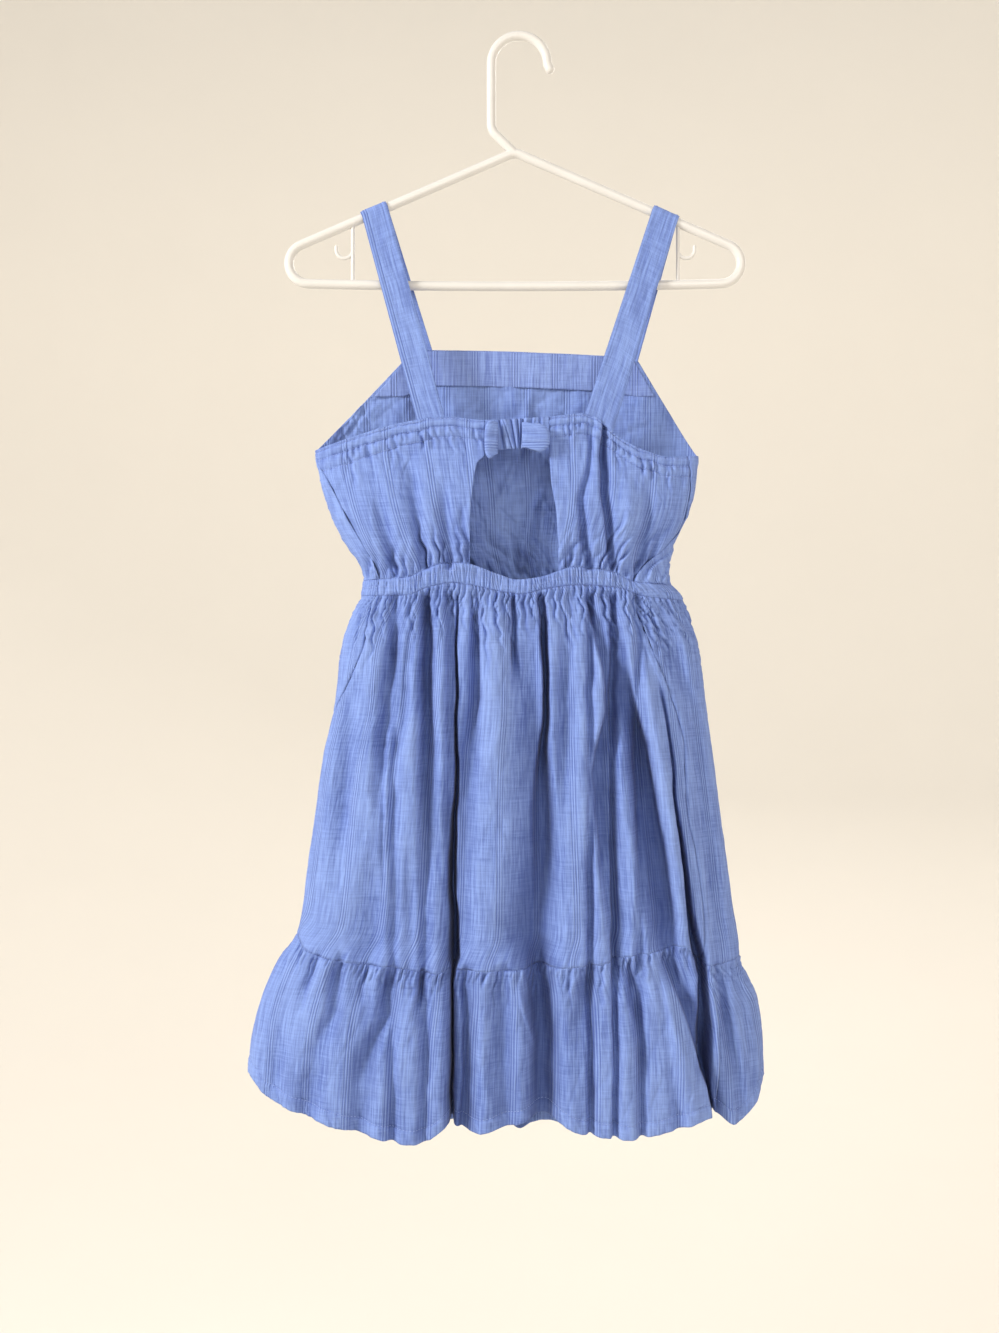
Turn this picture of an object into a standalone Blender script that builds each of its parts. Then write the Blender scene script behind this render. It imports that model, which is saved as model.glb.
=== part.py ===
"""A girl's cotton sundress hanging by its two straps on a moulded clothes hanger.

Metres, +Z up. The origin is the inner top of the hanger's hook, +Y points to the wall behind, and the
dress hangs with its back towards -Y. Sizes below are in millimetres, and a drop is a height measured
downwards from the origin.

The dress is one body form: at each drop a flattened ring, with folds pressed into it. A point of the
ring has an angle: 0 is the middle of the near side (the dress's back), 90 the right edge, 180 the middle
of the far side (its front) and 270 or -90 the left edge. Every sewn panel is a patch of that form,
bounded by seam lines, and is a cloth wall of even thickness with a small gap to its neighbours.
"""

import bisect
import collections
import math

import bmesh
import bpy
import numpy as np

MM = 0.001

# ---------------------------------------------------------------- driving sizes (mm)
SEAM_GAP = 0.3
CURVED_GAP = 1.4  # a seam on a sharp curve is opened by this much, because its inner edges close up
CLOTH = 1.4  # wall of a single layer of cloth
DOUBLE_CLOTH = 1.8  # straps and bow, sewn from two layers
BAND_CLOTH = 2.0  # waist casing, two layers and elastic
FACING_CLOTH = 1.0

NEAR_ROUNDNESS = 3.0  # exponents of the ring: a low one is round, a high one is flat
FAR_ROUNDNESS = 6.0

FACING_DEPTH = 33.0
FACING_TOP_INSET = 0.9
FACING_INSET = 0.03  # from the armhole, as a share of the front's half width
STRAP_WIDTH = 25.0
WAIST_MIDDLE = 494.0
WAIST_HALF_HEIGHT = 10.0
WAIST_HOLD_FADE = 26.0  # folds reach their full depth this far above and below the waist casing

# The ring at each drop: its left and right edge, and how far it stands to the near and the far side.
SECTIONS = {
    "drop": (280, 374, 404, 432, 460, 480, 492, 506, 520, 550, 607, 650, 727, 790, 812, 836, 871, 914, 990),
    "left": (-187, -186, -180, -171, -157, -145, -142, -144, -151, -161, -168, -178, -189, -197, -202, -219,
             -234, -244, -249),
    "right": (164, 162, 160, 153, 140, 136, 137, 147, 153, 163, 170, 176, 186, 194, 198, 201, 216, 221, 222),
    "near": (16, 20, 25, 28, 27, 22, 20, 22, 27, 33, 37, 38, 40, 40, 40, 43, 47, 50, 52),
    "far": (13, 13, 13, 13, 12, 12, 11, 12, 13, 14, 14, 14, 15, 15, 15, 16, 17, 18, 18),
}  # fmt: skip

# The two side seams, as the angle of the ring at each drop. Both lie on the near side for most of the way.
LEFT_SIDE_SEAM = {
    "drop": (374, 404, 434, 466, 484, 508, 551, 570, 590, 608, 640, 990),
    "angle": (-88, -72, -66, -63, -63, -64, -60, -64, -71, -80, -88, -88),
}
RIGHT_SIDE_SEAM = {
    "drop": (378, 432, 447, 460, 484, 506, 515, 553, 592, 636, 702, 736, 772, 828, 990),
    "angle": (71, 81, 85, 74, 53, 45, 43, 46, 52, 57, 55, 57, 58, 56, 53),
}

# Lines round the near side: "across" runs from -1 at the left edge to 1 at the right edge.
BACK_TOP_EDGE = {
    "across": (-1, -0.47, -0.31, -0.11, 0.22, 0.39, 0.46, 0.51, 0.58, 0.72, 0.83, 1),
    "drop": (374, 349, 346, 349, 346, 343, 346, 353, 364, 376, 381, 379),
}
WAIST_TOP_BACK = {
    "across": (-1, -0.72, -0.56, -0.42, -0.3, -0.12, 0, 0.14, 0.39, 0.62, 0.76, 1),
    "drop": (492, 490, 482, 477, 478, 487, 492, 490, 481, 485, 494, 496),
}
WAIST_BOTTOM_BACK = {
    "across": (-1, -0.72, -0.56, -0.42, -0.3, -0.12, 0, 0.14, 0.39, 0.62, 0.76, 1),
    "drop": (506, 506, 498, 495, 497, 503, 505, 501, 497, 499, 507, 510),
}
RUFFLE_SEAM_BACK = {
    "across": (-1, -0.91, -0.72, -0.45, -0.3, -0.27, 0, 0.37, 0.5, 0.65, 0.74, 0.8, 0.86, 1),
    "drop": (812, 824, 832, 837, 841, 839, 838, 833, 826, 822, 818, 832, 837, 832),
}
HEM_BACK = {
    "across": (-1, -0.91, -0.68, -0.32, -0.21, -0.13, 0.02, 0.15, 0.29, 0.47, 0.65, 0.79, 0.87, 0.95, 1),
    "drop": (935, 953, 972, 988, 975, 980, 973, 967, 979, 983, 976, 968, 977, 963, 938),
}

# The same lines round the far side.
NECKLINE = {"across": (-0.54, -0.39, 0.5, 0.69), "drop": (289, 279, 284, 289)}
WAIST_TOP_FRONT = {"across": (-1, 0, 1), "drop": (492, 490, 496)}
WAIST_BOTTOM_FRONT = {"across": (-1, 0, 1), "drop": (506, 506, 510)}
RUFFLE_SEAM_FRONT = {"across": (-1, -0.6, 0, 0.6, 1), "drop": (812, 832, 838, 835, 832)}
HEM_FRONT = {"across": (-1, -0.6, 0, 0.6, 1), "drop": (935, 974, 990, 978, 938)}

# The keyhole's two edges (x) at each drop.
KEYHOLE = {
    "drop": (340, 380, 388, 404, 436, 496),
    "left": (-31, -31, -38, -41, -44, -45),
    "right": (26.5, 26.5, 27, 28, 33, 35),
}

# Folds pressed into the near side. Each runs through three stations (drop and x at its top, middle and
# foot); width is its half width, and the three depths are how far it is pressed in at the stations.
Fold = collections.namedtuple("Fold", "name drops places width depths")
NEAR_FOLDS = [
    ("left of middle", (508, 700, 990), (-57, -58, -62), 9.5, (6, 12, 22)),
    ("middle", (507, 640, 800), (23, 23, 18), 9, (9, 13, 3)),
    ("left quarter", (514, 600, 690), (-80, -80, -81), 12, (5, 6, 1)),
    ("short left", (508, 555, 610), (-36, -35, -38), 7, (4, 5, 0)),
    ("left edge", (560, 700, 850), (-118, -128, -135), 16, (2, 6, 7)),
    ("light panel edge", (600, 750, 860), (64, 58, 82), 11, (2, 7, 6)),
    ("right hollow", (530, 620, 730), (84, 94, 112), 17, (3, 11, 6)),
    ("right edge of cone", (600, 740, 990), (104, 139, 172), 10, (3, 16, 24)),
    ("beside the right seam", (560, 700, 850), (138, 166, 178), 10, (4, 6, 6)),
    ("ruffle left end", (840, 900, 990), (-196, -206, -216), 11, (3, 6, 8)),
    ("ruffle left", (840, 900, 990), (-150, -156, -165), 13, (3, 6, 9)),
    ("ruffle left of middle", (840, 900, 990), (-104, -108, -112), 12, (3, 6, 8)),
    ("ruffle middle", (840, 900, 990), (-16, -14, -12), 11, (2, 5, 9)),
    ("ruffle gap", (840, 900, 990), (22, 22, 22), 14, (4, 10, 18)),
    ("ruffle right of middle", (840, 900, 990), (58, 62, 66), 10, (3, 6, 7)),
    ("ruffle right", (840, 900, 990), (98, 106, 116), 11, (3, 6, 8)),
    ("ruffle right end", (840, 900, 990), (186, 192, 198), 9, (3, 6, 8)),
    ("bodice crease", (352, 385, 484), (77, 73, 83), 8, (5, 8, 5)),
    ("bodice right gather", (410, 450, 486), (54, 57, 62), 7, (0, 5, 4)),
    ("bodice left gather", (400, 450, 486), (-92, -88, -84), 10, (0, 4, 4)),
]
FAR_FOLDS = [
    ("front middle", (510, 700, 990), (6, 2, -6), 12, (4, 6, 8)),
    ("front left", (510, 700, 990), (-70, -84, -98), 13, (4, 6, 8)),
    ("front right", (510, 700, 990), (72, 88, 104), 12, (4, 6, 7)),
    ("front left edge", (530, 700, 990), (-116, -140, -172), 12, (2, 5, 7)),
    ("front right edge", (530, 700, 990), (112, 136, 168), 12, (2, 4, 7)),
    ("front ruffle left", (836, 900, 990), (-50, -52, -54), 10, (2, 5, 7)),
    ("front ruffle right", (836, 900, 990), (50, 54, 60), 10, (2, 5, 7)),
    ("front bodice crease", (320, 400, 486), (30, 6, -10), 14, (0, 3, 3)),
]

FOLD_FADE_IN = 24.0  # a fold fades in over this much above its top and out over this much below its foot
FOLD_FADE_OUT = 30.0

# The hanger, in the plane y = 0.
TUBE_RADIUS = 4.25
HOOK_RADIUS = 25.5  # of the tube's centre line, about a point below the origin
HANGER_MIDDLE = -4.0
HANGER_APEX_DROP = 102.0
SHOULDER_SLOPE = math.radians(23.4)
BAR_DROP = 221.5
BAR_SAG = 2.5
HANGER_HALF_WIDTH = 210.0
APEX_FILLET = 14.0
STRUT_RADIUS = 1.8
STRUT_OFFSETS = (-147.5, 148.5)  # from the hanger's middle
STRAP_HOOK_RADIUS = 7.5
STRAP_HOOK_DROP = 191.0


# ---------------------------------------------------------------- tables and the body form
class Smooth:
    """A smooth curve through the rows of two columns of a table, level past its ends, with no overshoot."""

    def __init__(self, places, values):
        self.places = list(places)
        self.values = list(values)
        runs = list(zip(places, places[1:], values, values[1:]))
        slopes = [(v1 - v0) / (p1 - p0) for p0, p1, v0, v1 in runs]
        between = [2 * a * b / (a + b) if a * b > 0 else 0.0 for a, b in zip(slopes, slopes[1:])]
        self.tangents = [slopes[0], *between, slopes[-1]]

    def __call__(self, place):
        place = min(max(place, self.places[0]), self.places[-1])
        i = min(max(bisect.bisect_right(self.places, place) - 1, 0), len(self.places) - 2)
        width = self.places[i + 1] - self.places[i]
        t = (place - self.places[i]) / width
        return (
            (2 * t**3 - 3 * t**2 + 1) * self.values[i]
            + (t**3 - 2 * t**2 + t) * width * self.tangents[i]
            + (3 * t**2 - 2 * t**3) * self.values[i + 1]
            + (t**3 - t**2) * width * self.tangents[i + 1]
        )


def columns_of(table, key):
    """A smooth curve over the key column for each other column of a table."""
    return {name: Smooth(table[key], column) for name, column in table.items() if name != key}


SECTION = columns_of(SECTIONS, "drop")
SIDE_SEAMS = {
    "left": columns_of(LEFT_SIDE_SEAM, "drop")["angle"],
    "right": columns_of(RIGHT_SIDE_SEAM, "drop")["angle"],
}
KEYHOLE_EDGES = columns_of(KEYHOLE, "drop")


def three_stations(stations, values, drop):
    """Value along a fold at a drop, straight between its three stations and level past its ends."""
    first = drop < stations[1]
    a, b = (0, 1) if first else (1, 2)
    share = min(1.0, max(0.0, (drop - stations[a]) / (stations[b] - stations[a])))
    return values[a] + (values[b] - values[a]) * share


def fold_depth(folds, x, drop):
    """How far all folds of one side press the cloth in at (x, drop)."""
    total = 0.0
    for row in folds:
        fold = Fold(*row)
        middle = three_stations(fold.drops, fold.places, drop)
        if abs(x - middle) > 3 * fold.width:
            continue
        fade_in = min(1.0, max(0.0, (drop - fold.drops[0]) / FOLD_FADE_IN + 1))
        fade_out = min(1.0, max(0.0, (fold.drops[2] - drop) / FOLD_FADE_OUT + 1))
        depth = three_stations(fold.drops, fold.depths, drop) * fade_in * fade_out
        total += depth * math.exp(-(((x - middle) / fold.width) ** 2))
    return total


def waist_hold(drop):
    """0 inside the waist casing, where the elastic holds the cloth even, and 1 well away from it."""
    return min(1.0, max(0.0, abs(drop - WAIST_MIDDLE) - WAIST_HALF_HEIGHT) / WAIST_HOLD_FADE)


def ring(drop):
    left, right = SECTION["left"](drop), SECTION["right"](drop)
    return (left + right) / 2, (right - left) / 2


def form(angle, drop):
    """Point of the body form (mm) at an angle (degrees) and a drop."""
    middle, half = ring(drop)
    across = math.sin(math.radians(angle))
    x = middle + half * across
    edge_hold = 1 - abs(across) ** 8
    if math.cos(math.radians(angle)) >= 0:
        reach = SECTION["near"](drop)
        out = reach * math.sqrt(max(0.0, 1 - abs(across) ** NEAR_ROUNDNESS))
        pressed = fold_depth(NEAR_FOLDS, x, drop) * edge_hold * waist_hold(drop)
        return np.array((x, -(out - pressed), -drop))
    reach = SECTION["far"](drop)
    out = reach * math.sqrt(max(0.0, 1 - abs(across) ** FAR_ROUNDNESS))
    pressed = fold_depth(FAR_FOLDS, x, drop) * edge_hold * waist_hold(drop)
    return np.array((x, out - pressed, -drop))


def form_normal(angle, drop):
    """Level unit normal of the form, pointing out, so that a wall's edges keep their height."""
    along = form(angle + 0.3, drop) - form(angle - 0.3, drop)
    normal = np.array((along[1], -along[0], 0.0))
    return normal / np.linalg.norm(normal)


def near_angle(x, drop):
    """Angle on the near side of a given x."""
    middle, half = ring(drop)
    return math.degrees(math.asin(max(-1.0, min(1.0, (x - middle) / half))))


def line_drop(line, angle):
    return line(math.sin(math.radians(angle)))


def near_or_far_drop(near_line, far_line, angle):
    """Drop of a line that runs right round the form."""
    line = near_line if math.cos(math.radians(angle)) >= 0 else far_line
    return line_drop(line, angle)


def across_line(table):
    return Smooth(table["across"], table["drop"])


BACK_TOP, NECK = across_line(BACK_TOP_EDGE), across_line(NECKLINE)


# ---------------------------------------------------------------- panels
def settle(edge_angle, line, start):
    """Where an edge, given as an angle at each drop, meets a line: (angle, drop)."""
    drop = start
    for _ in range(30):
        drop = line(edge_angle(drop))
    return edge_angle(drop), drop


class Panel:
    """A patch of the body form between two edges (angle at a drop) and two lines (drop at an angle).

    place(u, v) has u = 0 at the edge "from_edge", u = 1 at "to_edge", v = 0 at the top line and v = 1 at
    the bottom line. Edges are functions of v that give (angle, drop), lines are functions of the angle.
    """

    def __init__(self, from_edge, to_edge, top, bottom):
        self.from_edge = from_edge
        self.to_edge = to_edge
        self.top = top
        self.bottom = bottom

    def place(self, u, v):
        top = self.top(self._angle(u, 0))
        bottom = self.bottom(self._angle(u, 1))
        return self._angle(u, v), top + (bottom - top) * v

    def _angle(self, u, v):
        angle_a, angle_b = self.from_edge(v)[0], self.to_edge(v)[0]
        return angle_a + (angle_b - angle_a) * u

    def share(self, angle):
        """u at the top line where the panel's angle is the given one."""
        first, last = self._angle(0, 0), self._angle(1, 0)
        return (angle - first) / (last - first)

    def grids(self, columns, rows, corners=()):
        """Points (mm) on a grid of rows by columns, and the form's level unit normals there.

        The column nearest to each of the corners, given as u, is moved onto it.
        """
        us = np.linspace(0, 1, columns + 1)
        for corner in corners:
            us[np.argmin(abs(us - corner))] = corner
        places = [[self.place(u, v) for u in us] for v in np.linspace(0, 1, rows + 1)]
        points = np.array([[form(*place) for place in row] for row in places])
        normals = np.array([[form_normal(*place) for place in row] for row in places])
        return points, normals


def edge_between(angle_at_drop, top, bottom, start_top, start_bottom):
    """An edge as a function of v, running down a seam from the top line to the bottom line."""
    _, top_drop = settle(angle_at_drop, top, start_top)
    _, bottom_drop = settle(angle_at_drop, bottom, start_bottom)

    def edge(v):
        drop = top_drop + (bottom_drop - top_drop) * v
        return angle_at_drop(drop), drop

    return edge


def beside(angle, drop, side):
    """An angle moved to one side (-1 or 1) by half a seam gap, measured along the cloth."""
    per_degree = np.linalg.norm(form(angle + 0.5, drop) - form(angle - 0.5, drop))
    return angle + side * CURVED_GAP * SEAM_GAP / 2 / per_degree


def back_of_left_seam(drop):
    return beside(SIDE_SEAMS["left"](drop), drop, 1)


def back_of_right_seam(drop):
    return beside(SIDE_SEAMS["right"](drop), drop, -1)


def front_of_left_seam(drop):
    return beside(SIDE_SEAMS["left"](drop) + 360, drop, -1)


def front_of_right_seam(drop):
    return beside(SIDE_SEAMS["right"](drop), drop, 1)


def shifted(line, by):
    """A line moved down by some millimetres."""
    return lambda angle: line(angle) + by


def one_side_line(line):
    return lambda angle: line_drop(line, angle)


def round_line(near_table, far_table):
    near_line, far_line = across_line(near_table), across_line(far_table)
    return lambda angle: near_or_far_drop(near_line, far_line, angle)


WAIST_TOP = round_line(WAIST_TOP_BACK, WAIST_TOP_FRONT)
WAIST_BOTTOM = round_line(WAIST_BOTTOM_BACK, WAIST_BOTTOM_FRONT)
RUFFLE_SEAM = round_line(RUFFLE_SEAM_BACK, RUFFLE_SEAM_FRONT)
HEM = round_line(HEM_BACK, HEM_FRONT)
HALF_GAP = SEAM_GAP / 2


def band_panel(top, bottom, back, start_top, start_bottom):
    """A panel from side seam to side seam, over the near side (back) or the far side."""
    if back:
        left, right = back_of_left_seam, back_of_right_seam
    else:
        left, right = front_of_right_seam, front_of_left_seam
    return Panel(
        edge_between(left, top, bottom, start_top, start_bottom),
        edge_between(right, top, bottom, start_top, start_bottom),
        top,
        bottom,
    )


# ---------------------------------------------------------------- solids
def material(name, colour, roughness):
    made = bpy.data.materials.new(name)
    made.use_nodes = True
    shader = made.node_tree.nodes["Principled BSDF"]
    shader.inputs["Base Color"].default_value = (*colour, 1)
    shader.inputs["Roughness"].default_value = roughness
    shader.inputs["Metallic"].default_value = 0
    return made


def add_object(name, bm, finish):
    bmesh.ops.recalc_face_normals(bm, faces=bm.faces)
    mesh = bpy.data.meshes.new(name)
    bm.to_mesh(mesh)
    bm.free()
    mesh.materials.append(finish)
    made = bpy.data.objects.new(name, mesh)
    bpy.context.scene.collection.objects.link(made)
    return made


def grid_of(point, columns, rows):
    """Points (mm) on a grid of rows by columns."""
    us = np.linspace(0, 1, columns + 1)
    vs = np.linspace(0, 1, rows + 1)
    return np.array([[point(u, v) for u in us] for v in vs])


def flat_normals(grid):
    """Level unit normals of a grid."""
    along = np.gradient(grid, axis=1)
    normals = np.stack((along[..., 1], -along[..., 0], np.zeros(along.shape[:2])), axis=-1)
    return normals / np.linalg.norm(normals, axis=-1, keepdims=True)


def full_normals(grid):
    normals = np.cross(np.gradient(grid, axis=1), np.gradient(grid, axis=0))
    return normals / np.linalg.norm(normals, axis=-1, keepdims=True)


def cloth_wall(name, grid, away, thickness, finish, moved_out=0.0):
    """A closed wall of even thickness round a grid of points; moved_out shifts it along its normals."""
    outer = grid + away * (moved_out + thickness / 2)
    inner = grid + away * (moved_out - thickness / 2)
    bm = bmesh.new()
    rows, columns = grid.shape[:2]
    sides = [[[bm.verts.new(p * MM) for p in row] for row in side] for side in (outer, inner)]
    for side in sides:
        for r in range(rows - 1):
            for c in range(columns - 1):
                bm.faces.new((side[r][c], side[r][c + 1], side[r + 1][c + 1], side[r + 1][c]))
    rim = [(0, c) for c in range(columns - 1)] + [(r, columns - 1) for r in range(rows - 1)]
    rim += [(rows - 1, c) for c in range(columns - 1, 0, -1)] + [(r, 0) for r in range(rows - 1, 0, -1)]
    out, into = sides
    for (r0, c0), (r1, c1) in zip(rim, rim[1:] + rim[:1]):
        bm.faces.new((out[r0][c0], out[r1][c1], into[r1][c1], into[r0][c0]))
    bmesh.ops.triangulate(bm, faces=bm.faces)
    return add_object(name, bm, finish)


# ---------------------------------------------------------------- dress pieces
BACK_COLUMNS = 48  # the same down the band, the skirt and the ruffle, so that their seams match
FRONT_COLUMNS = 28
SEAM_ROWS = 7  # down the bodice's side seams, the same on the front and the back
SKIRT_ROWS = 9
RUFFLE_ROWS = 4


def make_skirt(finish):
    for name, back, columns in (("skirt_back", True, BACK_COLUMNS), ("skirt_front", False, FRONT_COLUMNS)):
        top = shifted(WAIST_BOTTOM, HALF_GAP)
        bottom = shifted(RUFFLE_SEAM, -HALF_GAP)
        panel = band_panel(top, bottom, back, 506, 830)
        cloth_wall(name, *panel.grids(columns, SKIRT_ROWS), CLOTH, finish)


def make_ruffle(finish):
    for name, back, columns in (("ruffle_back", True, BACK_COLUMNS), ("ruffle_front", False, FRONT_COLUMNS)):
        panel = band_panel(shifted(RUFFLE_SEAM, HALF_GAP), HEM, back, 830, 940)
        cloth_wall(name, *panel.grids(columns, RUFFLE_ROWS), CLOTH, finish)


def make_waistband(finish):
    for name, back, columns in (("waistband_back", True, BACK_COLUMNS), ("waistband_front", False, FRONT_COLUMNS)):
        top = shifted(WAIST_TOP, HALF_GAP)
        bottom = shifted(WAIST_BOTTOM, -HALF_GAP)
        panel = band_panel(top, bottom, back, 492, 506)
        cloth_wall(name, *panel.grids(columns, 1), BAND_CLOTH, finish)


def keyhole_edge(side, inset):
    """Angle of a keyhole edge at a drop, moved by inset millimetres to the right."""
    return lambda drop: near_angle(KEYHOLE_EDGES[side](drop) + inset, drop)


def make_back_bodice(finish):
    top = one_side_line(BACK_TOP)
    bottom = shifted(WAIST_TOP, -HALF_GAP)
    left = Panel(
        edge_between(back_of_left_seam, top, bottom, 374, 490),
        edge_between(keyhole_edge("left", 0), top, bottom, 350, 485),
        top,
        bottom,
    )
    right = Panel(
        edge_between(keyhole_edge("right", 0), top, bottom, 350, 485),
        edge_between(back_of_right_seam, top, bottom, 378, 490),
        top,
        bottom,
    )
    cloth_wall("back_bodice_left", *left.grids(16, SEAM_ROWS), CLOTH, finish)
    cloth_wall("back_bodice_right", *right.grids(16, SEAM_ROWS), CLOTH, finish)


# The front bodice's top line: the neckline between two corners, then the armholes down to the sides.
NECK_CORNERS = {"left": -0.54, "right": 0.69}  # as "across"
NECK_CORNER_DROP = 289.0
SIDE_DROP = {side: BACK_TOP_EDGE["drop"][end] for side, end in (("left", 0), ("right", -1))}


def armhole_across(side, drop):
    """Where the armhole on one side lies at a drop, straight from the neckline's corner to the side."""
    corner = NECK_CORNERS[side]
    edge = -1 if side == "left" else 1
    return corner + (edge - corner) * (drop - NECK_CORNER_DROP) / (SIDE_DROP[side] - NECK_CORNER_DROP)


def front_top(angle):
    """Drop of the front's top line: it wraps a little round to the near side, where it follows the back's."""
    across = math.sin(math.radians(angle))
    if math.cos(math.radians(angle)) >= 0:
        return BACK_TOP(across)
    if NECK_CORNERS["left"] <= across <= NECK_CORNERS["right"]:
        return NECK(across)
    side = "left" if across < 0 else "right"
    corner = NECK_CORNERS[side]
    edge = -1 if side == "left" else 1
    return NECK_CORNER_DROP + (SIDE_DROP[side] - NECK_CORNER_DROP) * (across - corner) / (edge - corner)


def far_angle(across):
    return 180 - math.degrees(math.asin(across))


def make_front_bodice(finish):
    panel = band_panel(front_top, shifted(WAIST_TOP, -HALF_GAP), False, 376, 490)
    corners = [panel.share(far_angle(NECK_CORNERS[side])) for side in ("right", "left")]
    cloth_wall("front_bodice", *panel.grids(FRONT_COLUMNS, SEAM_ROWS, corners), CLOTH, finish)


def make_neck_facing(finish):
    """A strip under the neckline that ends just inside the armholes."""

    def edge(side):
        def place(v):
            drop = NECK_CORNER_DROP + FACING_DEPTH * v
            across = armhole_across(side, drop)
            return far_angle(across - math.copysign(FACING_INSET, across)), drop

        return place

    top = shifted(one_side_line(NECK), FACING_TOP_INSET)
    panel = Panel(edge("right"), edge("left"), top, shifted(top, FACING_DEPTH))
    inward = -(CLOTH / 2 + SEAM_GAP + FACING_CLOTH / 2)
    cloth_wall("front_neck_facing", *panel.grids(24, 2), FACING_CLOTH, finish, moved_out=inward)


# Each strap: where its middle lies on the near top edge, on the hanger's shoulder and on the neckline.
STRAPS = {
    "strap_left": {"near_x": -79.5, "bar_x": -131.0, "far_x": -92.0},
    "strap_right": {"near_x": 71.0, "bar_x": 132.0, "far_x": 96.5},
}
ARC_STEPS = 6
STRAP_END_EASE = 0.7  # a strap's straight end stands a little off the curved edge that it is sewn to


def shoulder_drop(x):
    """Drop of the shoulder bar's centre line at x."""
    return HANGER_APEX_DROP + abs(x - HANGER_MIDDLE) * math.tan(SHOULDER_SLOPE)


def strap_rows(places):
    """Rows of points across a strap, from the near top edge over the shoulder bar to the neckline."""
    around = TUBE_RADIUS + SEAM_GAP + DOUBLE_CLOTH / 2
    outward = -1 if places["bar_x"] < HANGER_MIDDLE else 1
    axis = np.array((math.cos(SHOULDER_SLOPE), 0, -outward * math.sin(SHOULDER_SLOPE)))
    up = np.array((outward * math.sin(SHOULDER_SLOPE), 0, math.cos(SHOULDER_SLOPE)))
    bar = np.array((places["bar_x"], 0, -shoulder_drop(places["bar_x"])))
    sides = np.linspace(-STRAP_WIDTH / 2, STRAP_WIDTH / 2, 5)

    def end_row(x, line, turned):
        row = []
        for side in sides:
            place = x + side
            drop = 380.0
            for _ in range(20):
                angle = near_angle(place, drop)
                angle = 180 - angle if turned else angle
                drop = line_drop(line, angle)
            point = form(angle, drop)
            point[2] += SEAM_GAP + STRAP_END_EASE
            row.append(point)
        return np.array(row)

    def arc_row(turn):
        away = np.array((0, -math.cos(turn), 0)) + up * math.sin(turn)
        return np.array([bar + axis * side + away * around for side in sides])

    near_end = end_row(places["near_x"], BACK_TOP, False)
    far_end = end_row(places["far_x"], NECK, True)
    arc = [arc_row(math.pi * k / ARC_STEPS) for k in range(ARC_STEPS + 1)]
    rows = [near_end + (arc[0] - near_end) * k / 8 for k in range(8)]
    rows += arc
    rows += [arc[-1] + (far_end - arc[-1]) * k / 6 for k in range(1, 7)]
    return np.array(rows)


def make_straps(finish):
    for name, places in STRAPS.items():
        grid = strap_rows(places)
        cloth_wall(name, grid, full_normals(grid), DOUBLE_CLOTH, finish)


# The bow: a gathered bridge over the top of the keyhole and a folded loop on each side of it.
BRIDGE_DEPTH = 27.0
BOW_LOOPS = {
    "bow_loop_left": {"root_x": -17.0, "tip_x": -32.0, "root_drop": 362.0, "tip_drop": 372.0,
                      "root_half": 9.0, "tip_half": 14.0, "opening": 9.0},
    "bow_loop_right": {"root_x": 2.0, "tip_x": 26.5, "root_drop": 363.0, "tip_drop": 366.5,
                       "root_half": 11.0, "tip_half": 14.0, "opening": 8.0},
}  # fmt: skip


def make_bridge(finish):
    top = one_side_line(BACK_TOP)
    bottom = shifted(top, BRIDGE_DEPTH)
    panel = Panel(
        edge_between(keyhole_edge("left", SEAM_GAP + 0.1), top, bottom, 350, 376),
        edge_between(keyhole_edge("right", -SEAM_GAP - 0.1), top, bottom, 350, 376),
        top,
        bottom,
    )
    cloth_wall("bow_bridge", *panel.grids(8, 2), CLOTH, finish)


def make_bow_loops(finish):
    for name, sizes in BOW_LOOPS.items():
        root_y = form(near_angle(sizes["root_x"], 362), 362)[1]
        lift = CLOTH / 2 + SEAM_GAP + DOUBLE_CLOTH / 2 + 1.0
        back_y = root_y - lift
        reach = sizes["tip_x"] - sizes["root_x"]
        bulge = sizes["opening"] / 2

        def point(u, v, sizes=sizes, back_y=back_y, reach=reach, bulge=bulge):
            """u runs from the root along the back layer, round the tip and back along the near layer."""
            turn = math.pi * u
            along = math.sin(turn) ** 0.6 if 0 < u < 1 else 0.0
            x = sizes["root_x"] + reach * along
            y = back_y - bulge * (1 - math.cos(turn)) * (0.35 + 0.65 * along)
            share = along
            middle = sizes["root_drop"] + (sizes["tip_drop"] - sizes["root_drop"]) * share
            half = sizes["root_half"] + (sizes["tip_half"] - sizes["root_half"]) * share
            return np.array((x, y, -(middle + half * (2 * v - 1))))

        grid = grid_of(point, 14, 2)
        cloth_wall(name, grid, flat_normals(grid), CLOTH, finish)


# ---------------------------------------------------------------- hanger
def tube(points, radius, sides, closed=False):
    """A round tube along points of the hanger's plane, given as (x, drop)."""
    centre = np.array([(x, 0.0, -drop) for x, drop in points])
    count = len(centre)
    bm = bmesh.new()
    rings = []
    for i in range(count):
        before = centre[i - 1] if closed or i else centre[i]
        after = centre[(i + 1) % count] if closed or i < count - 1 else centre[i]
        along = (after - before) / np.linalg.norm(after - before)
        across = np.array((-along[2], 0, along[0]))
        turns = [2 * math.pi * k / sides for k in range(sides)]
        offsets = [across * math.cos(t) + np.array((0, 1, 0)) * math.sin(t) for t in turns]
        rings.append([bm.verts.new((centre[i] + o * radius) * MM) for o in offsets])
    last = count if closed else count - 1
    for i in range(last):
        a, b = rings[i], rings[(i + 1) % count]
        for k in range(sides):
            bm.faces.new((a[k], a[(k + 1) % sides], b[(k + 1) % sides], b[k]))
    if not closed:
        bm.faces.new(rings[0])
        bm.faces.new(rings[-1])
    return bm


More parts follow.
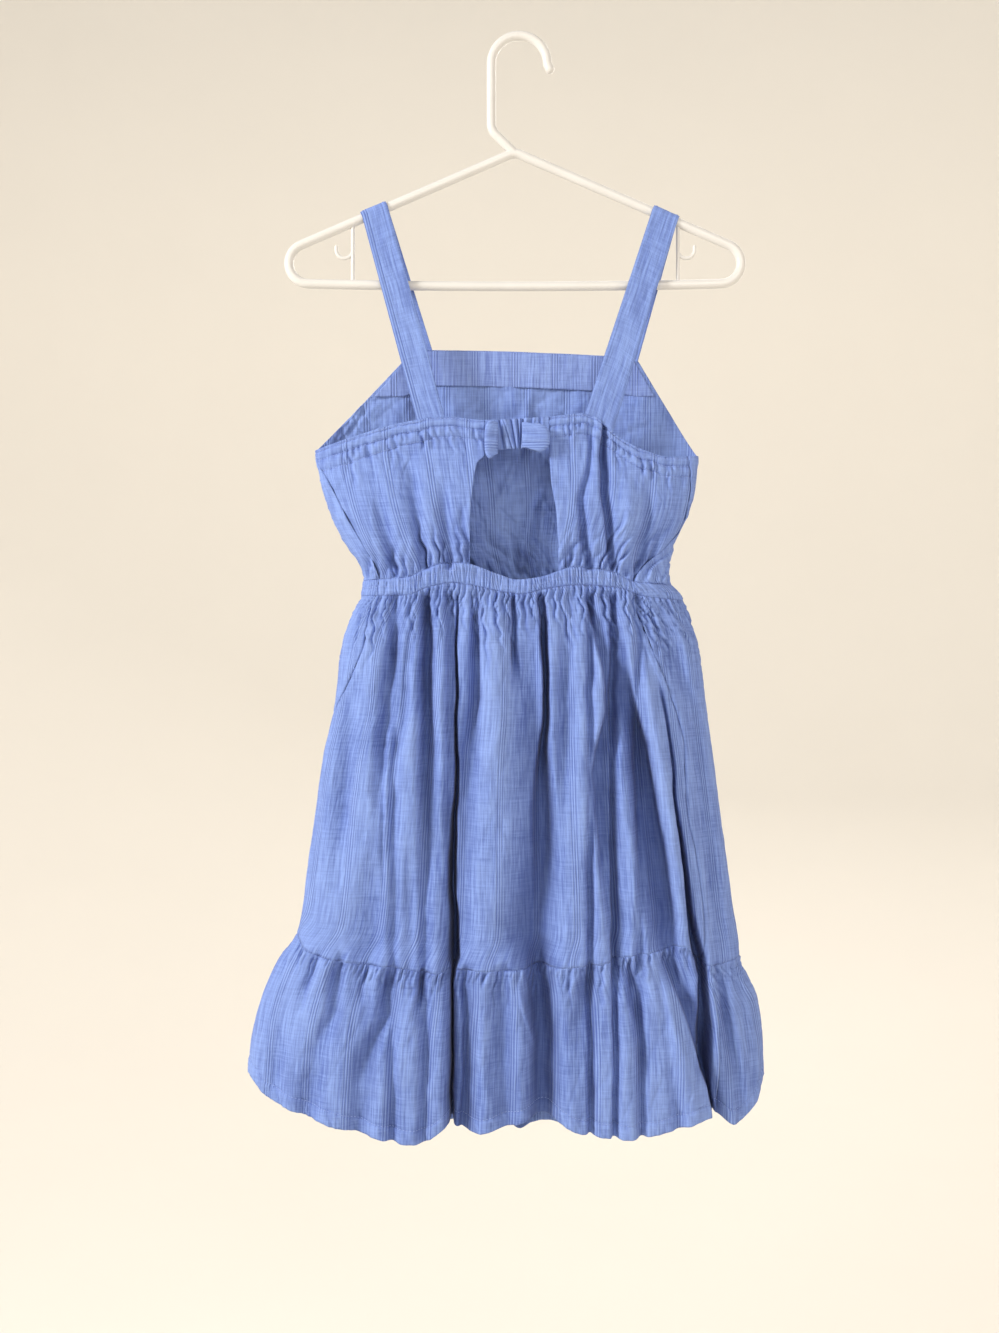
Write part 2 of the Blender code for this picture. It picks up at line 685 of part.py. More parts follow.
def fillet(corner, before, after, radius, steps):
    """Points of an arc that rounds a corner of a path."""
    corner, before, after = (np.array(p, float) for p in (corner, before, after))
    a = (before - corner) / np.linalg.norm(before - corner)
    b = (after - corner) / np.linalg.norm(after - corner)
    half = math.acos(float(np.clip(a @ b, -1, 1))) / 2
    bisector = (a + b) / np.linalg.norm(a + b)
    centre = corner + bisector * radius / math.sin(half)
    start = corner + a * radius / math.tan(half) - centre
    end = corner + b * radius / math.tan(half) - centre
    sweep = math.pi - 2 * half
    made = []
    for k in range(steps + 1):
        t = k / steps
        made.append(centre + (math.sin((1 - t) * sweep) * start + math.sin(t * sweep) * end) / math.sin(sweep))
    return made


def hanger_loop():
    """Centre line of the hanger's closed loop: two shoulders, rounded ends and a slightly sagging bar."""
    slope = math.tan(SHOULDER_SLOPE)
    corner_half = (BAR_DROP - HANGER_APEX_DROP) / slope
    # The end's radius is the one whose arc reaches the hanger's half width.
    share = (1 / math.tan(SHOULDER_SLOPE / 2)) - 1
    end_radius = (corner_half - HANGER_HALF_WIDTH + TUBE_RADIUS) / share
    apex = (HANGER_MIDDLE, HANGER_APEX_DROP)
    left = (HANGER_MIDDLE - corner_half, BAR_DROP)
    right = (HANGER_MIDDLE + corner_half, BAR_DROP)
    points = fillet(apex, left, right, APEX_FILLET, 4)
    points += fillet(right, apex, left, end_radius, 9)
    flat = HANGER_HALF_WIDTH - end_radius
    for k in range(1, 8):
        share = 1 - k / 4
        points.append(np.array((HANGER_MIDDLE + flat * share, BAR_DROP + BAR_SAG * (1 - share**2))))
    points += fillet(left, right, apex, end_radius, 9)
    return points


def hook_path():
    """Centre line of the hook, from inside the apex up the shank and over to the tip."""
    centre_drop = HOOK_RADIUS - TUBE_RADIUS
    shank_x = -HOOK_RADIUS
    apex = (HANGER_MIDDLE, HANGER_APEX_DROP + 1)
    elbow = (shank_x, 82.0)
    shank_top = (shank_x, centre_drop)
    path = [np.array(apex, float)]
    path += fillet(elbow, apex, shank_top, 14.0, 4)
    for k in range(17):
        turn = math.pi - math.pi * k / 16
        path.append(np.array((HOOK_RADIUS * math.cos(turn), centre_drop - HOOK_RADIUS * math.sin(turn))))
    path.append(np.array((HOOK_RADIUS + 2.5, centre_drop + 6)))
    return path


def strap_hook_path(strut_x, outward):
    """A small J from the strut outwards and up to its tip."""
    centre_x = strut_x + outward * STRAP_HOOK_RADIUS
    path = []
    for k in range(9):
        turn = math.pi * k / 8
        path.append((centre_x - outward * STRAP_HOOK_RADIUS * math.cos(turn),
                     STRAP_HOOK_DROP + STRAP_HOOK_RADIUS * math.sin(turn)))  # fmt: skip
    path.append((path[-1][0], STRAP_HOOK_DROP - 3))
    return path


def make_hanger(finish):
    hanger = add_object("hanger", tube(hanger_loop(), TUBE_RADIUS, 12, closed=True), finish)
    joined = [tube(hook_path(), TUBE_RADIUS * 0.98, 12)]
    for offset in STRUT_OFFSETS:
        x = HANGER_MIDDLE + offset
        joined.append(tube([(x, shoulder_drop(x)), (x, BAR_DROP)], STRUT_RADIUS, 8))
        joined.append(tube(strap_hook_path(x, math.copysign(1, offset)), STRUT_RADIUS * 0.94, 8))
    for number, bm in enumerate(joined):
        cutter = add_object(f"hanger_part_{number}", bm, finish)
        cutter.hide_render = True
        cutter.display_type = "WIRE"
        union = hanger.modifiers.new(f"join {number}", "BOOLEAN")
        union.operation = "UNION"
        union.object = cutter
        union.solver = "EXACT"


def main():
    for existing in list(bpy.data.objects):
        bpy.data.objects.remove(existing, do_unlink=True)
    chambray = material("chambray", (0.26, 0.36, 0.72), 0.9)
    chambray_inside = material("chambray_inside", (0.3, 0.4, 0.74), 0.9)
    plastic = material("white_plastic", (0.86, 0.85, 0.82), 0.3)
    make_front_bodice(chambray_inside)
    make_neck_facing(chambray_inside)
    make_back_bodice(chambray)
    make_bridge(chambray)
    make_bow_loops(chambray)
    make_straps(chambray)
    make_waistband(chambray)
    make_skirt(chambray)
    make_ruffle(chambray)
    make_hanger(plastic)


main()
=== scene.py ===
"""Looks of a girl's chambray sundress that hangs by its two straps on a white clothes hanger.

Lengths are in millimetres until a mesh is made, and a drop is a height measured downwards from the inner
top of the hanger's hook. Every sewn panel is a thin shell on the dress's body form, which is the same as in
the CAD model: at each drop a flattened ring, whose angle is 0 at the middle of the near side (the dress's
back), 90 at the right edge, 180 on the far side and 270 or -90 at the left edge. The big folds are pressed
in level, and the gathers, creases and hems stand along the ring's own normal.
"""

import math
from collections import namedtuple
from types import SimpleNamespace

import bpy
import numpy as np
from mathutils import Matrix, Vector


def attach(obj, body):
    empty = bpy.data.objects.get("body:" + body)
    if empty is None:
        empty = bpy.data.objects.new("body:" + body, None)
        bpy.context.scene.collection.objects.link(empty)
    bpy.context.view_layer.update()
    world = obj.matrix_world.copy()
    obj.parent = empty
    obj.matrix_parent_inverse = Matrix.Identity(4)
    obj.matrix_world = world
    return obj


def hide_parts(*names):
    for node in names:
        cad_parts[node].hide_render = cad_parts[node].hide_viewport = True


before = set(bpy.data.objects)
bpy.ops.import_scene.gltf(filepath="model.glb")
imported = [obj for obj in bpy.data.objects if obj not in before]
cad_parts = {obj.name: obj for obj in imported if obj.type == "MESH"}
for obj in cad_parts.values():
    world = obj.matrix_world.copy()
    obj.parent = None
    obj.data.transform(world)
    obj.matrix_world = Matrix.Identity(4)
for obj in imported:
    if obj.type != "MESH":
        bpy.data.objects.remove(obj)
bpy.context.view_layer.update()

MM = 0.001
CLOTH = 0.5  # thickness of the shell
FOLD_STRENGTH = 1.2
FOLD_WAVER = 1.1  # how far a fold's line strays to the sides
FINE = 1100  # samples across a panel, from which its columns are chosen
WALL_SHARE = 0.45  # how much a fold's depth counts against its width when the columns are shared out
NEAR_ROUNDNESS = 3.0
FAR_ROUNDNESS = 6.0

# ---------------------------------------------------------------- the body form, as in the CAD model
SECTIONS = {
    "drop": (280, 374, 404, 432, 460, 480, 492, 506, 520, 550, 607, 650, 727, 790, 812, 836, 871, 914, 990),
    "left": (-187, -186, -180, -171, -157, -145, -142, -144, -151, -161, -168, -178, -189, -197, -202, -219,
             -234, -244, -249),
    "right": (164, 162, 160, 153, 140, 136, 137, 147, 153, 163, 170, 176, 186, 194, 198, 201, 216, 221, 222),
    "near": (16, 20, 25, 28, 27, 22, 20, 22, 27, 33, 37, 38, 40, 40, 40, 43, 47, 50, 52),
    "far": (13, 13, 13, 13, 12, 12, 11, 12, 13, 14, 14, 14, 15, 15, 15, 16, 17, 18, 18),
}
LEFT_SIDE_SEAM = {
    "drop": (374, 404, 434, 466, 484, 508, 551, 570, 590, 608, 640, 990),
    "angle": (-88, -72, -66, -63, -63, -64, -60, -64, -71, -80, -88, -88),
}
RIGHT_SIDE_SEAM = {
    "drop": (378, 432, 447, 460, 484, 506, 515, 553, 592, 636, 702, 736, 772, 828, 990),
    "angle": (71, 81, 85, 74, 53, 45, 43, 46, 52, 57, 55, 57, 58, 56, 53),
}
BACK_TOP_EDGE = {
    "across": (-1, -0.47, -0.31, -0.11, 0.22, 0.39, 0.46, 0.51, 0.58, 0.72, 0.83, 1),
    "drop": (374, 349, 346, 349, 346, 343, 346, 353, 364, 376, 381, 379),
}
WAIST_BACK = {
    "across": (-1, -0.72, -0.56, -0.42, -0.3, -0.12, 0, 0.14, 0.39, 0.62, 0.76, 1),
    "top": (492, 490, 482, 477, 478, 487, 492, 490, 481, 485, 494, 496),
    "bottom": (506, 506, 498, 495, 497, 503, 505, 501, 497, 499, 507, 510),
}
RUFFLE_SEAM_BACK = {
    "across": (-1, -0.91, -0.72, -0.45, -0.3, -0.27, 0, 0.37, 0.5, 0.65, 0.74, 0.8, 0.86, 1),
    "drop": (812, 824, 832, 837, 841, 839, 838, 833, 826, 822, 818, 832, 837, 832),
}
HEM_BACK = {
    "across": (-1, -0.91, -0.68, -0.32, -0.21, -0.13, 0.02, 0.15, 0.29, 0.47, 0.65, 0.79, 0.87, 0.95, 1),
    "drop": (935, 953, 972, 988, 975, 980, 973, 967, 979, 983, 976, 968, 977, 963, 938),
}
NECKLINE = {"across": (-0.54, -0.39, 0.5, 0.69), "drop": (289, 279, 284, 289)}
WAIST_FRONT = {"across": (-1, 0, 1), "top": (492, 490, 496), "bottom": (506, 506, 510)}
RUFFLE_SEAM_FRONT = {"across": (-1, -0.6, 0, 0.6, 1), "drop": (812, 832, 838, 835, 832)}
HEM_FRONT = {"across": (-1, -0.6, 0, 0.6, 1), "drop": (935, 974, 990, 978, 938)}
BRIDGE_DEPTH = 27.0
KEYHOLE = {
    "drop": (340, 380, 388, 404, 436, 496),
    "left": (-31, -31, -38, -41, -44, -45),
    "right": (26.5, 26.5, 27, 28, 33, 35),
}
NECK_CORNERS = {"left": -0.54, "right": 0.69}
NECK_CORNER_DROP = 289.0
SIDE_DROP = {"left": 374.0, "right": 379.0}
WAIST_MIDDLE = 494.0
FACING_DEPTH = 33.0
HEM = 12.0  # height of the turned-up hem

# ---------------------------------------------------------------- big folds
# Each fold: how box-like its section is (2 is a soft trough, 4 a slit), then stations down it: drop, x,
# half width to the left and to the right, and depth. A negative depth is a ridge.
NEAR_FOLDS = {
    "left slit": (3.4, (
        (498, -56, 1, 1, 0), (514, -56, 1.3, 1.3, 8), (600, -56.5, 1.3, 1.5, 18),
        (640, -56.5, 1.4, 1.6, 22), (684, -57, 1.8, 2.2, 26), (740, -60, 3, 3.2, 30),
        (776, -59.5, 3, 3.2, 32), (804, -58.3, 3.6, 3.6, 32), (829, -57.4, 4.2, 4.2, 32),
        (840, -58.6, 1.6, 1.6, 26), (850, -60, 1, 1.4, 20), (910, -59.6, 1, 1.6, 20), (950, -61, 1, 2, 18),
        (1000, -62.7, 1.4, 2.6, 16))),
    "left slit shoulders": (1.7, (
        (505, -56, 9, 11, 2), (600, -57, 9, 16, 5), (760, -58, 10, 18, 9), (836, -58, 8, 12, 9),
        (860, -58, 4, 13, 10), (930, -60, 4, 17, 15), (990, -62, 5, 20, 15))),
    "middle slit": (3.6, (
        (494, 19, 2, 2, 0), (504, 19.8, 3.4, 3, 10), (545, 22, 3.8, 3.2, 24), (590, 24.4, 2.8, 2.6, 26),
        (624, 23.6, 3.4, 3, 26), (647, 22, 4.4, 4.2, 24), (669, 21.6, 7, 7, 17), (700, 20, 9, 10, 12),
        (740, 21, 8, 10, 9), (790, 20, 8, 9, 3))),
    "middle hollow": (2.2, (
        (540, 12, 16, 6, 5), (600, 13, 15, 6, 9), (660, 14, 18, 10, 11), (730, 20, 22, 14, 14),
        (800, 12, 24, 18, 18), (838, 18, 18, 13, 12), (990, 22, 14, 16, 5))),
    "slit in the light panel": (3, (
        (500, -6, 1.6, 1.6, 0), (508, -6, 1.8, 2.2, 8), (560, -6, 2, 4, 11), (585, -5, 3, 6, 2),
        (596, -5, 3, 6, 0))),
    "light panel's ridge": (2.2, (
        (502, -22, 9, 8, 0), (540, -22, 11, 9, -4), (620, -22, 12, 12, -4), (700, -26, 12, 14, -2),
        (760, -28, 12, 14, 0))),
    "short left": (2.6, (
        (506, -39, 3, 2.4, 4), (540, -37, 6, 2.6, 11), (600, -37, 8, 3, 13), (640, -42, 10, 6, 9),
        (690, -46, 10, 6, 6), (760, -48, 10, 8, 3), (830, -48, 9, 8, 1))),
    "left quarter": (2.4, (
        (500, -84, 5, 4, 2), (530, -81, 7, 4, 9), (600, -80, 9, 5, 13), (680, -80, 9, 7, 8),
        (730, -76, 9, 8, 5), (800, -74, 10, 9, 2))),
    "left quarter's ridge": (2, (
        (540, -68, 5, 5, 0), (585, -68, 5, 5, -4), (650, -67, 6, 6, -3), (700, -67, 6, 6, 0))),
    "left third": (2.4, (
        (530, -110, 5, 4, 2), (575, -117, 7, 4.4, 9), (640, -121, 8, 4.4, 12), (662, -123, 7, 4, 8),
        (700, -125, 6, 5, 3), (730, -126, 6, 6, 0))),
    "left third line": (2, (
        (664, -121, 1.6, 1.6, 0), (680, -121, 1.6, 2, 2.2), (735, -122, 1.6, 2, 2.4),
        (770, -122, 2, 2, 0))),
    "left fourth": (2.2, (
        (545, -98, 4, 4, 1), (590, -102, 5, 4, 6), (640, -106, 5, 4, 5), (670, -108, 5, 4, 0))),
    "left hollow": (2.2, (
        (590, -150, 7, 7, 1), (632, -155, 9, 7, 8), (700, -156, 11, 7, 11), (735, -160, 10, 9, 5),
        (790, -164, 12, 10, 0))),
    "left lower": (2, (
        (710, -118, 12, 12, 0), (760, -128, 16, 12, 6), (820, -132, 16, 10, 8), (840, -134, 14, 8, 6),
        (900, -140, 14, 12, 3))),
    "left lower second": (2, (
        (720, -94, 8, 7, 0), (780, -96, 10, 8, 6), (836, -98, 9, 8, 5), (850, -100, 8, 8, 0))),
    "light strip": (2.4, (
        (520, 42, 5, 5, 1), (580, 40, 5, 7, 6), (640, 40, 7, 8, 6), (700, 42, 8, 8, 3),
        (740, 44, 8, 8, 0))),
    "light panel edge": (2.8, (
        (508, 62, 2, 4, 2), (530, 66, 2.4, 7, 8), (560, 73, 2.6, 11, 12), (590, 79, 2.6, 12, 16),
        (610, 78, 2.8, 13, 17), (645, 70, 3.4, 15, 17), (665, 68, 4, 16, 15), (700, 70, 4.4, 16, 14),
        (750, 76, 5, 16, 12), (800, 82, 6, 14, 9), (836, 86, 6, 10, 6), (850, 86, 5, 8, 1),
        (864, 86, 5, 8, 0))),
    "hollow of the cone": (3.2, (
        (520, 82, 6, 3, 2), (560, 92, 9, 3, 10), (600, 101, 13, 2.8, 18), (640, 112, 18, 2.6, 24),
        (665, 117, 20, 2.6, 25), (690, 121, 21, 2.8, 22), (750, 130, 22, 3, 18), (800, 136, 20, 3.2, 14),
        (838, 138, 12, 3.2, 8), (856, 140, 8, 3, 0))),
    "hollow's streak": (2, (
        (690, 98, 3, 4, 0), (730, 100, 3, 4, -3.5), (790, 104, 4, 5, -4), (836, 106, 4, 5, 0))),
    "cone ridge": (2.2, (
        (515, 92, 6, 5, 0), (550, 104, 7, 6, -3), (610, 118, 9, 7, -5), (680, 130, 8, 6, -6),
        (760, 142, 6, 5, -6), (820, 148, 6, 5, -3), (836, 150, 6, 5, 0))),
    "right slit": (3.2, (
        (585, 124, 1.2, 1.2, 0), (600, 127, 1.4, 1.3, 6), (640, 134, 1.6, 1.4, 9), (690, 139, 1.8, 1.6, 14),
        (740, 146, 2.2, 2, 22), (790, 152, 3, 2.6, 27), (828, 160, 5.2, 4.4, 31), (846, 163, 4, 3.4, 30),
        (892, 166, 7, 5.2, 32), (925, 166, 5, 4, 28), (942, 168, 2, 2, 18), (990, 176, 2, 2, 16))),
    "beside the right seam": (2.2, (
        (515, 126, 4, 5, 0), (560, 140, 6, 6, 5), (620, 158, 6, 6, 7), (700, 166, 6, 6, 6),
        (800, 178, 6, 6, 6), (838, 182, 6, 6, 4))),
    "ruffle cone ridge": (2, (
        (836, 118, 8, 6, 0), (860, 126, 11, 7, -4), (910, 142, 14, 8, -5), (990, 160, 16, 8, -4))),
    "ruffle wedge": (2.8, (
        (828, 127, 2, 9, 3), (850, 136, 2, 14, 10), (869, 144, 2, 14, 14), (905, 156, 2, 12, 16),
        (950, 171, 2, 8, 14), (990, 178, 2, 8, 12))),
    "ruffle right trough": (2.3, (
        (832, 96, 3, 3, 5), (846, 99, 5, 4, 11), (872, 102, 7, 5, 10), (896, 105, 7, 6, 4),
        (930, 106, 8, 7, 1), (990, 110, 10, 9, 1))),
    "ruffle middle trough": (2.3, (
        (832, 60, 4, 3, 3), (850, 58, 8, 7, 8), (880, 55, 10, 8, 7), (905, 55, 11, 9, 3),
        (990, 62, 12, 10, 1.5))),
    "ruffle far right": (2.2, (
        (840, 122, 3, 3, 2), (870, 126, 5, 4, 4), (910, 132, 6, 5, 3), (990, 144, 7, 6, 4))),
    "ruffle gap": (2.3, (
        (812, 17, 12, 8, 2), (838, 17, 9, 9, 13), (870, 18, 11, 11, 19), (910, 19, 11, 13, 15),
        (990, 22, 15, 13, 14))),
    "ruffle ridge": (2, (
        (850, 0, 2, 2, 0), (868, 3, 2, 1.6, -4), (895, 10, 2, 1.6, -4), (908, 13, 2, 1.6, 0))),
    "ruffle violet": (2.2, (
        (836, -14, 8, 7, 4), (860, -16, 12, 9, 9), (920, -16, 13, 11, 9), (990, -12, 12, 11, 9))),
    "ruffle beside slit": (2.4, (
        (838, -48, 3, 7, 4), (870, -48, 3, 9, 9), (930, -48, 3, 10, 10), (990, -52, 3, 12, 10))),
    "ruffle left slit": (2.8, (
        (838, -87, 1.6, 2, 3), (848, -88, 2, 2.4, 9), (868, -91, 2.4, 3, 7), (884, -93, 4, 5, 0))),
    "ruffle left trough": (2.3, (
        (838, -117, 3, 3, 4), (850, -117, 4.5, 4.5, 11), (880, -119, 7, 5, 10), (915, -134, 10, 7, 7),
        (940, -139, 10, 8, 3), (990, -142, 12, 10, 5))),
    "ruffle left fan": (2.3, (
        (826, -160, 3, 4, 4), (845, -163, 6, 6, 9), (876, -164, 8, 6, 8), (905, -178, 10, 8, 5),
        (990, -192, 12, 10, 7))),
    "ruffle left fan's edge": (2.2, (
        (822, -178, 3, 3, 2), (842, -184, 4, 4, 7), (864, -192, 5, 5, 3), (880, -198, 5, 5, 0))),
    "ruffle left end": (2.1, ((860, -210, 7, 8, 2), (920, -216, 8, 8, 6), (990, -220, 9, 9, 7))),
    "ruffle right end": (2.2, (
        (836, 176, 3, 3, 4), (870, 182, 5, 4, 9), (930, 194, 6, 5, 7), (990, 202, 7, 7, 7))),
    "ruffle right end second": (2.2, (
        (836, 192, 3, 3, 3), (870, 200, 4, 4, 6), (920, 208, 5, 5, 4), (960, 210, 5, 5, 2))),
    "bodice crease": (2.8, (
        (346, 76, 1.4, 2, 4), (362, 75, 1.8, 3.4, 11), (380, 73, 2, 5, 13), (410, 74, 2.4, 6, 11),
        (450, 79, 2.4, 5, 9), (484, 83, 2.4, 4, 8))),
    "bodice second crease": (2.4, (
        (352, 66, 1.4, 2, 3), (384, 62, 2, 3, 4), (420, 55, 3, 4, 6), (450, 56, 3, 5, 8),
        (484, 62, 3, 4, 8))),
    "bodice right ridge": (2, ((380, 98, 9, 8, 0), (430, 98, 10, 8, -4), (484, 96, 8, 6, -2))),
    "bodice right gather": (2.2, ((400, 116, 5, 5, 0), (440, 114, 5, 4, 5), (486, 106, 4, 4, 6))),
    "bodice left gather": (2.2, ((372, -100, 6, 6, 0), (420, -93, 7, 5, 5), (486, -84, 5, 5, 7))),
    "bodice left second": (2.2, ((400, -70, 6, 6, 0), (440, -66, 6, 5, 5), (484, -62, 5, 4, 6))),
    "bodice left edge": (2.2, ((390, -132, 7, 7, 0), (440, -122, 7, 6, 5), (488, -112, 5, 5, 6))),
}
FAR_FOLDS = {
    "front left of middle": (3, (
        (500, -26, 3, 3, 2), (540, -28, 4, 4, 10), (600, -30, 5, 6, 13), (760, -36, 7, 8, 12),
        (990, -44, 9, 10, 12))),
    "front right of middle": (2.6, (
        (500, 30, 3, 3, 2), (620, 34, 8, 5, 10), (760, 40, 10, 8, 8), (830, 44, 9, 8, 3))),
    "front left": (2.8, (
        (500, -70, 3, 3, 3), (600, -78, 6, 5, 12), (760, -92, 9, 8, 11), (990, -104, 12, 9, 11))),
    "front right": (2.6, (
        (500, 74, 3, 3, 3), (640, 88, 7, 7, 11), (800, 100, 8, 9, 12), (990, 108, 9, 12, 11))),
    "front left edge": (2.4, ((520, -114, 5, 5, 2), (700, -138, 8, 8, 9), (990, -170, 10, 10, 10))),
    "front right edge": (2.4, ((520, 112, 5, 5, 2), (700, 134, 8, 8, 9), (990, 166, 10, 10, 10))),
    "front middle": (2.2, ((505, 2, 5, 5, 0), (560, 3, 6, 5, 6), (640, 4, 7, 6, 6), (720, 6, 7, 7, 0))),
    "front ruffle middle": (2.4, ((832, 4, 4, 4, 4), (880, 4, 7, 7, 10), (990, 2, 10, 10, 10))),
    "front ruffle right": (2.4, ((832, 62, 3, 3, 3), (880, 66, 6, 5, 9), (990, 70, 9, 8, 8))),
    "front ruffle left": (2.4, ((832, -70, 3, 3, 3), (880, -70, 6, 5, 8), (990, -72, 9, 8, 7))),
    "front ruffle far left": (2.4, ((826, -140, 3, 3, 3), (880, -146, 6, 5, 9), (990, -150, 9, 8, 8))),
    "front ruffle far right": (2.4, ((830, 138, 3, 3, 3), (880, 142, 6, 5, 8), (990, 146, 9, 8, 8))),
    "front bodice left": (2, ((310, -64, 12, 12, 0), (400, -50, 12, 12, 5), (486, -40, 6, 6, 6))),
    "front bodice right": (2, ((310, 74, 12, 12, 0), (400, 54, 12, 12, 5), (486, 38, 6, 6, 6))),
    "front bodice middle": (2, ((380, 8, 9, 9, 0), (440, 4, 8, 8, 4), (488, 0, 5, 5, 5))),
    "front bodice crease": (2.2, (
        (296, 14, 4, 4, 0), (340, 8, 5, 4, 3), (374, 2, 5, 3, 4), (410, -14, 5, 4, 4),
        (436, -28, 3, 3, 0))),
    "front bodice low crease": (2.2, (
        (400, 24, 3, 3, 0), (425, 14, 5, 4, 4), (452, 6, 5, 5, 4), (484, 2, 4, 4, 2))),
    "front bodice side crease": (2.2, (
        (392, -44, 3, 3, 0), (420, -36, 4, 5, 3.5), (446, -26, 4, 4, 2), (462, -18, 4, 4, 0))),
}

# Seeded small pleats that start at a seam: mean spacing, shortest and longest reach, half widths, depths,
# how far they fan out over 100 mm at 150 mm from the middle, and how far they waver to the sides.
Gather = namedtuple("Gather", "seed spacing reach width depth fan waver")
GATHERS = {
    "below the waist": Gather(11, 4.0, (24, 115), (0.7, 1.7), (1.4, 4.8), 14, 1.4),
    "above the waist": Gather(12, 5.4, (22, 90), (1.1, 2.8), (1.5, 5.2), 8, 1.3),
    "below the ruffle seam": Gather(13, 3.8, (8, 60), (0.7, 1.9), (1.1, 4.0), 14, 0.9),
    "above the ruffle seam": Gather(14, 4.4, (3, 14), (0.7, 1.5), (0.4, 1.3), 0, 0.3),
    "below the casing": Gather(15, 6.0, (10, 58), (0.9, 2.2), (0.6, 2.4), 0, 1.4),
    "waist casing": Gather(17, 2.9, (300, 300), (0.35, 0.75), (0.6, 1.5), 0, 0.3),
    "neck": Gather(16, 9.0, (6, 30), (1.2, 3.0), (0.2, 0.9), 0, 0.5),
}
FAN_PLACE = 150  # where along a seam a fan's number holds
SEAM_REACH = 330  # no seam reaches further to either side of its middle
FREE_CLOTH = (515, 800)  # drops between the waist and the ruffle; a fold that starts there fades in slowly
SLOW_FADE = 30
SEAM_FADE = 6
LATTICE = 97  # places of random values in each direction, after which the noise repeats


class Smooth:
    """A smooth curve through the rows of two columns of a table, level past its ends, with no overshoot."""

    def __init__(self, places, values):
        self.places, self.values = np.array(places, float), np.array(values, float)
        slopes = np.diff(self.values) / np.diff(self.places)
        same_way = slopes[:-1] * slopes[1:] > 0
        total = np.where(same_way, slopes[:-1] + slopes[1:], 1.0)
        between = np.where(same_way, 2 * slopes[:-1] * slopes[1:] / total, 0.0)
        self.tangents = np.concatenate(([slopes[0]], between, [slopes[-1]]))

    def __call__(self, place):
        place = np.clip(place, self.places[0], self.places[-1])
        i = np.clip(np.searchsorted(self.places, place, side="right") - 1, 0, len(self.places) - 2)
        width = self.places[i + 1] - self.places[i]
        t = (place - self.places[i]) / width
        return (
            (2 * t**3 - 3 * t**2 + 1) * self.values[i]
            + (t**3 - 2 * t**2 + t) * width * self.tangents[i]
            + (3 * t**2 - 2 * t**3) * self.values[i + 1]
            + (t**3 - t**2) * width * self.tangents[i + 1]
        )


def columns_of(table, key):
    """A smooth curve over the key column for each other column of a table."""
    return {name: Smooth(table[key], column) for name, column in table.items() if name != key}


SECTION = columns_of(SECTIONS, "drop")
LEFT_SEAM = columns_of(LEFT_SIDE_SEAM, "drop")["angle"]
RIGHT_SEAM = columns_of(RIGHT_SIDE_SEAM, "drop")["angle"]
KEYHOLE_EDGES = columns_of(KEYHOLE, "drop")


def ramp(value, start, end):
    """0 before start, 1 after end and a smooth rise between them; start may be the larger one."""
    t = np.clip((value - start) / (end - start), 0, 1)
    return t * t * (3 - 2 * t)


def bell(distance, width):
    """1 at no distance and 0.37 at the width."""
    return np.exp(-((distance / width) ** 2))


def noise(seed, a, b, a_size, b_size):
    """Smooth seeded noise from -1 to 1 whose bumps are a_size by b_size."""
    lattice = np.random.default_rng(seed).uniform(-1, 1, (LATTICE, LATTICE))
    x, y = a / a_size + 40, b / b_size + 40
    i, j = np.floor(x).astype(int), np.floor(y).astype(int)
    fx, fy = ramp(x - i, 0, 1), ramp(y - j, 0, 1)

    def pick(di, dj):
        return lattice[(i + di) % LATTICE, (j + dj) % LATTICE]

    low = pick(0, 0) * (1 - fx) + pick(1, 0) * fx
    high = pick(0, 1) * (1 - fx) + pick(1, 1) * fx
    return low * (1 - fy) + high * fy


def is_near(angle):
    """Whether an angle is on the near side, the dress's back."""
    return np.cos(np.radians(angle)) >= 0


def ring(angle, drop):
    """Level point of the ring without folds: x, y and the share of the half width, all arrays."""
    left, right = SECTION["left"](drop), SECTION["right"](drop)
    across = np.sin(np.radians(angle))
    near = is_near(angle)
    roundness = np.where(near, NEAR_ROUNDNESS, FAR_ROUNDNESS)
    reach = np.where(near, SECTION["near"](drop), SECTION["far"](drop))
    out = reach * np.sqrt(np.maximum(0.0, 1 - np.abs(across) ** roundness))
    return (left + right) / 2 + (right - left) / 2 * across, np.where(near, -out, out), across


def ring_normal(angle, drop, step=0.6):
    """The ring's level outward normal, from the points a step of the angle to either side."""
    x0, y0, _ = ring(angle - step, drop)
    x1, y1, _ = ring(angle + step, drop)
    length = np.hypot(x1 - x0, y1 - y0)
    return (y1 - y0) / length, -(x1 - x0) / length


def fold_depth(folds, x, drop):
    """How far the folds press the cloth in at each x and drop."""
    total = np.zeros(x.shape)
    for sharpness, stations in folds.values():
        drops, xs, lefts, rights, depths = np.array(stations, float).T
        first = drops[0]
        fade = SLOW_FADE if FREE_CLOTH[0] < first < FREE_CLOTH[1] else SEAM_FADE
        if drop.max() < first - fade or (depths[-1] == 0 and drop.min() > drops[-1]):
            continue
        waver = FOLD_WAVER * noise(91, drop, drop * 0 + xs[0], 22, 9) * ramp(drop, first, first + 20)
        away = x - np.interp(drop, drops, xs) - waver
        half = np.where(away < 0, np.interp(drop, drops, lefts), np.interp(drop, drops, rights))
        depth = np.interp(drop, drops, depths) * ramp(drop, first - fade, first + fade / 3)
        total += depth * np.exp(-np.abs(away / half) ** sharpness)
    return FOLD_STRENGTH * total


def near_angle(x, drop):
    """Angle of the ring's near point at x."""
    left, right = SECTION["left"](drop), SECTION["right"](drop)
    return np.degrees(np.arcsin(np.clip((x - (left + right) / 2) / ((right - left) / 2), -1, 1)))


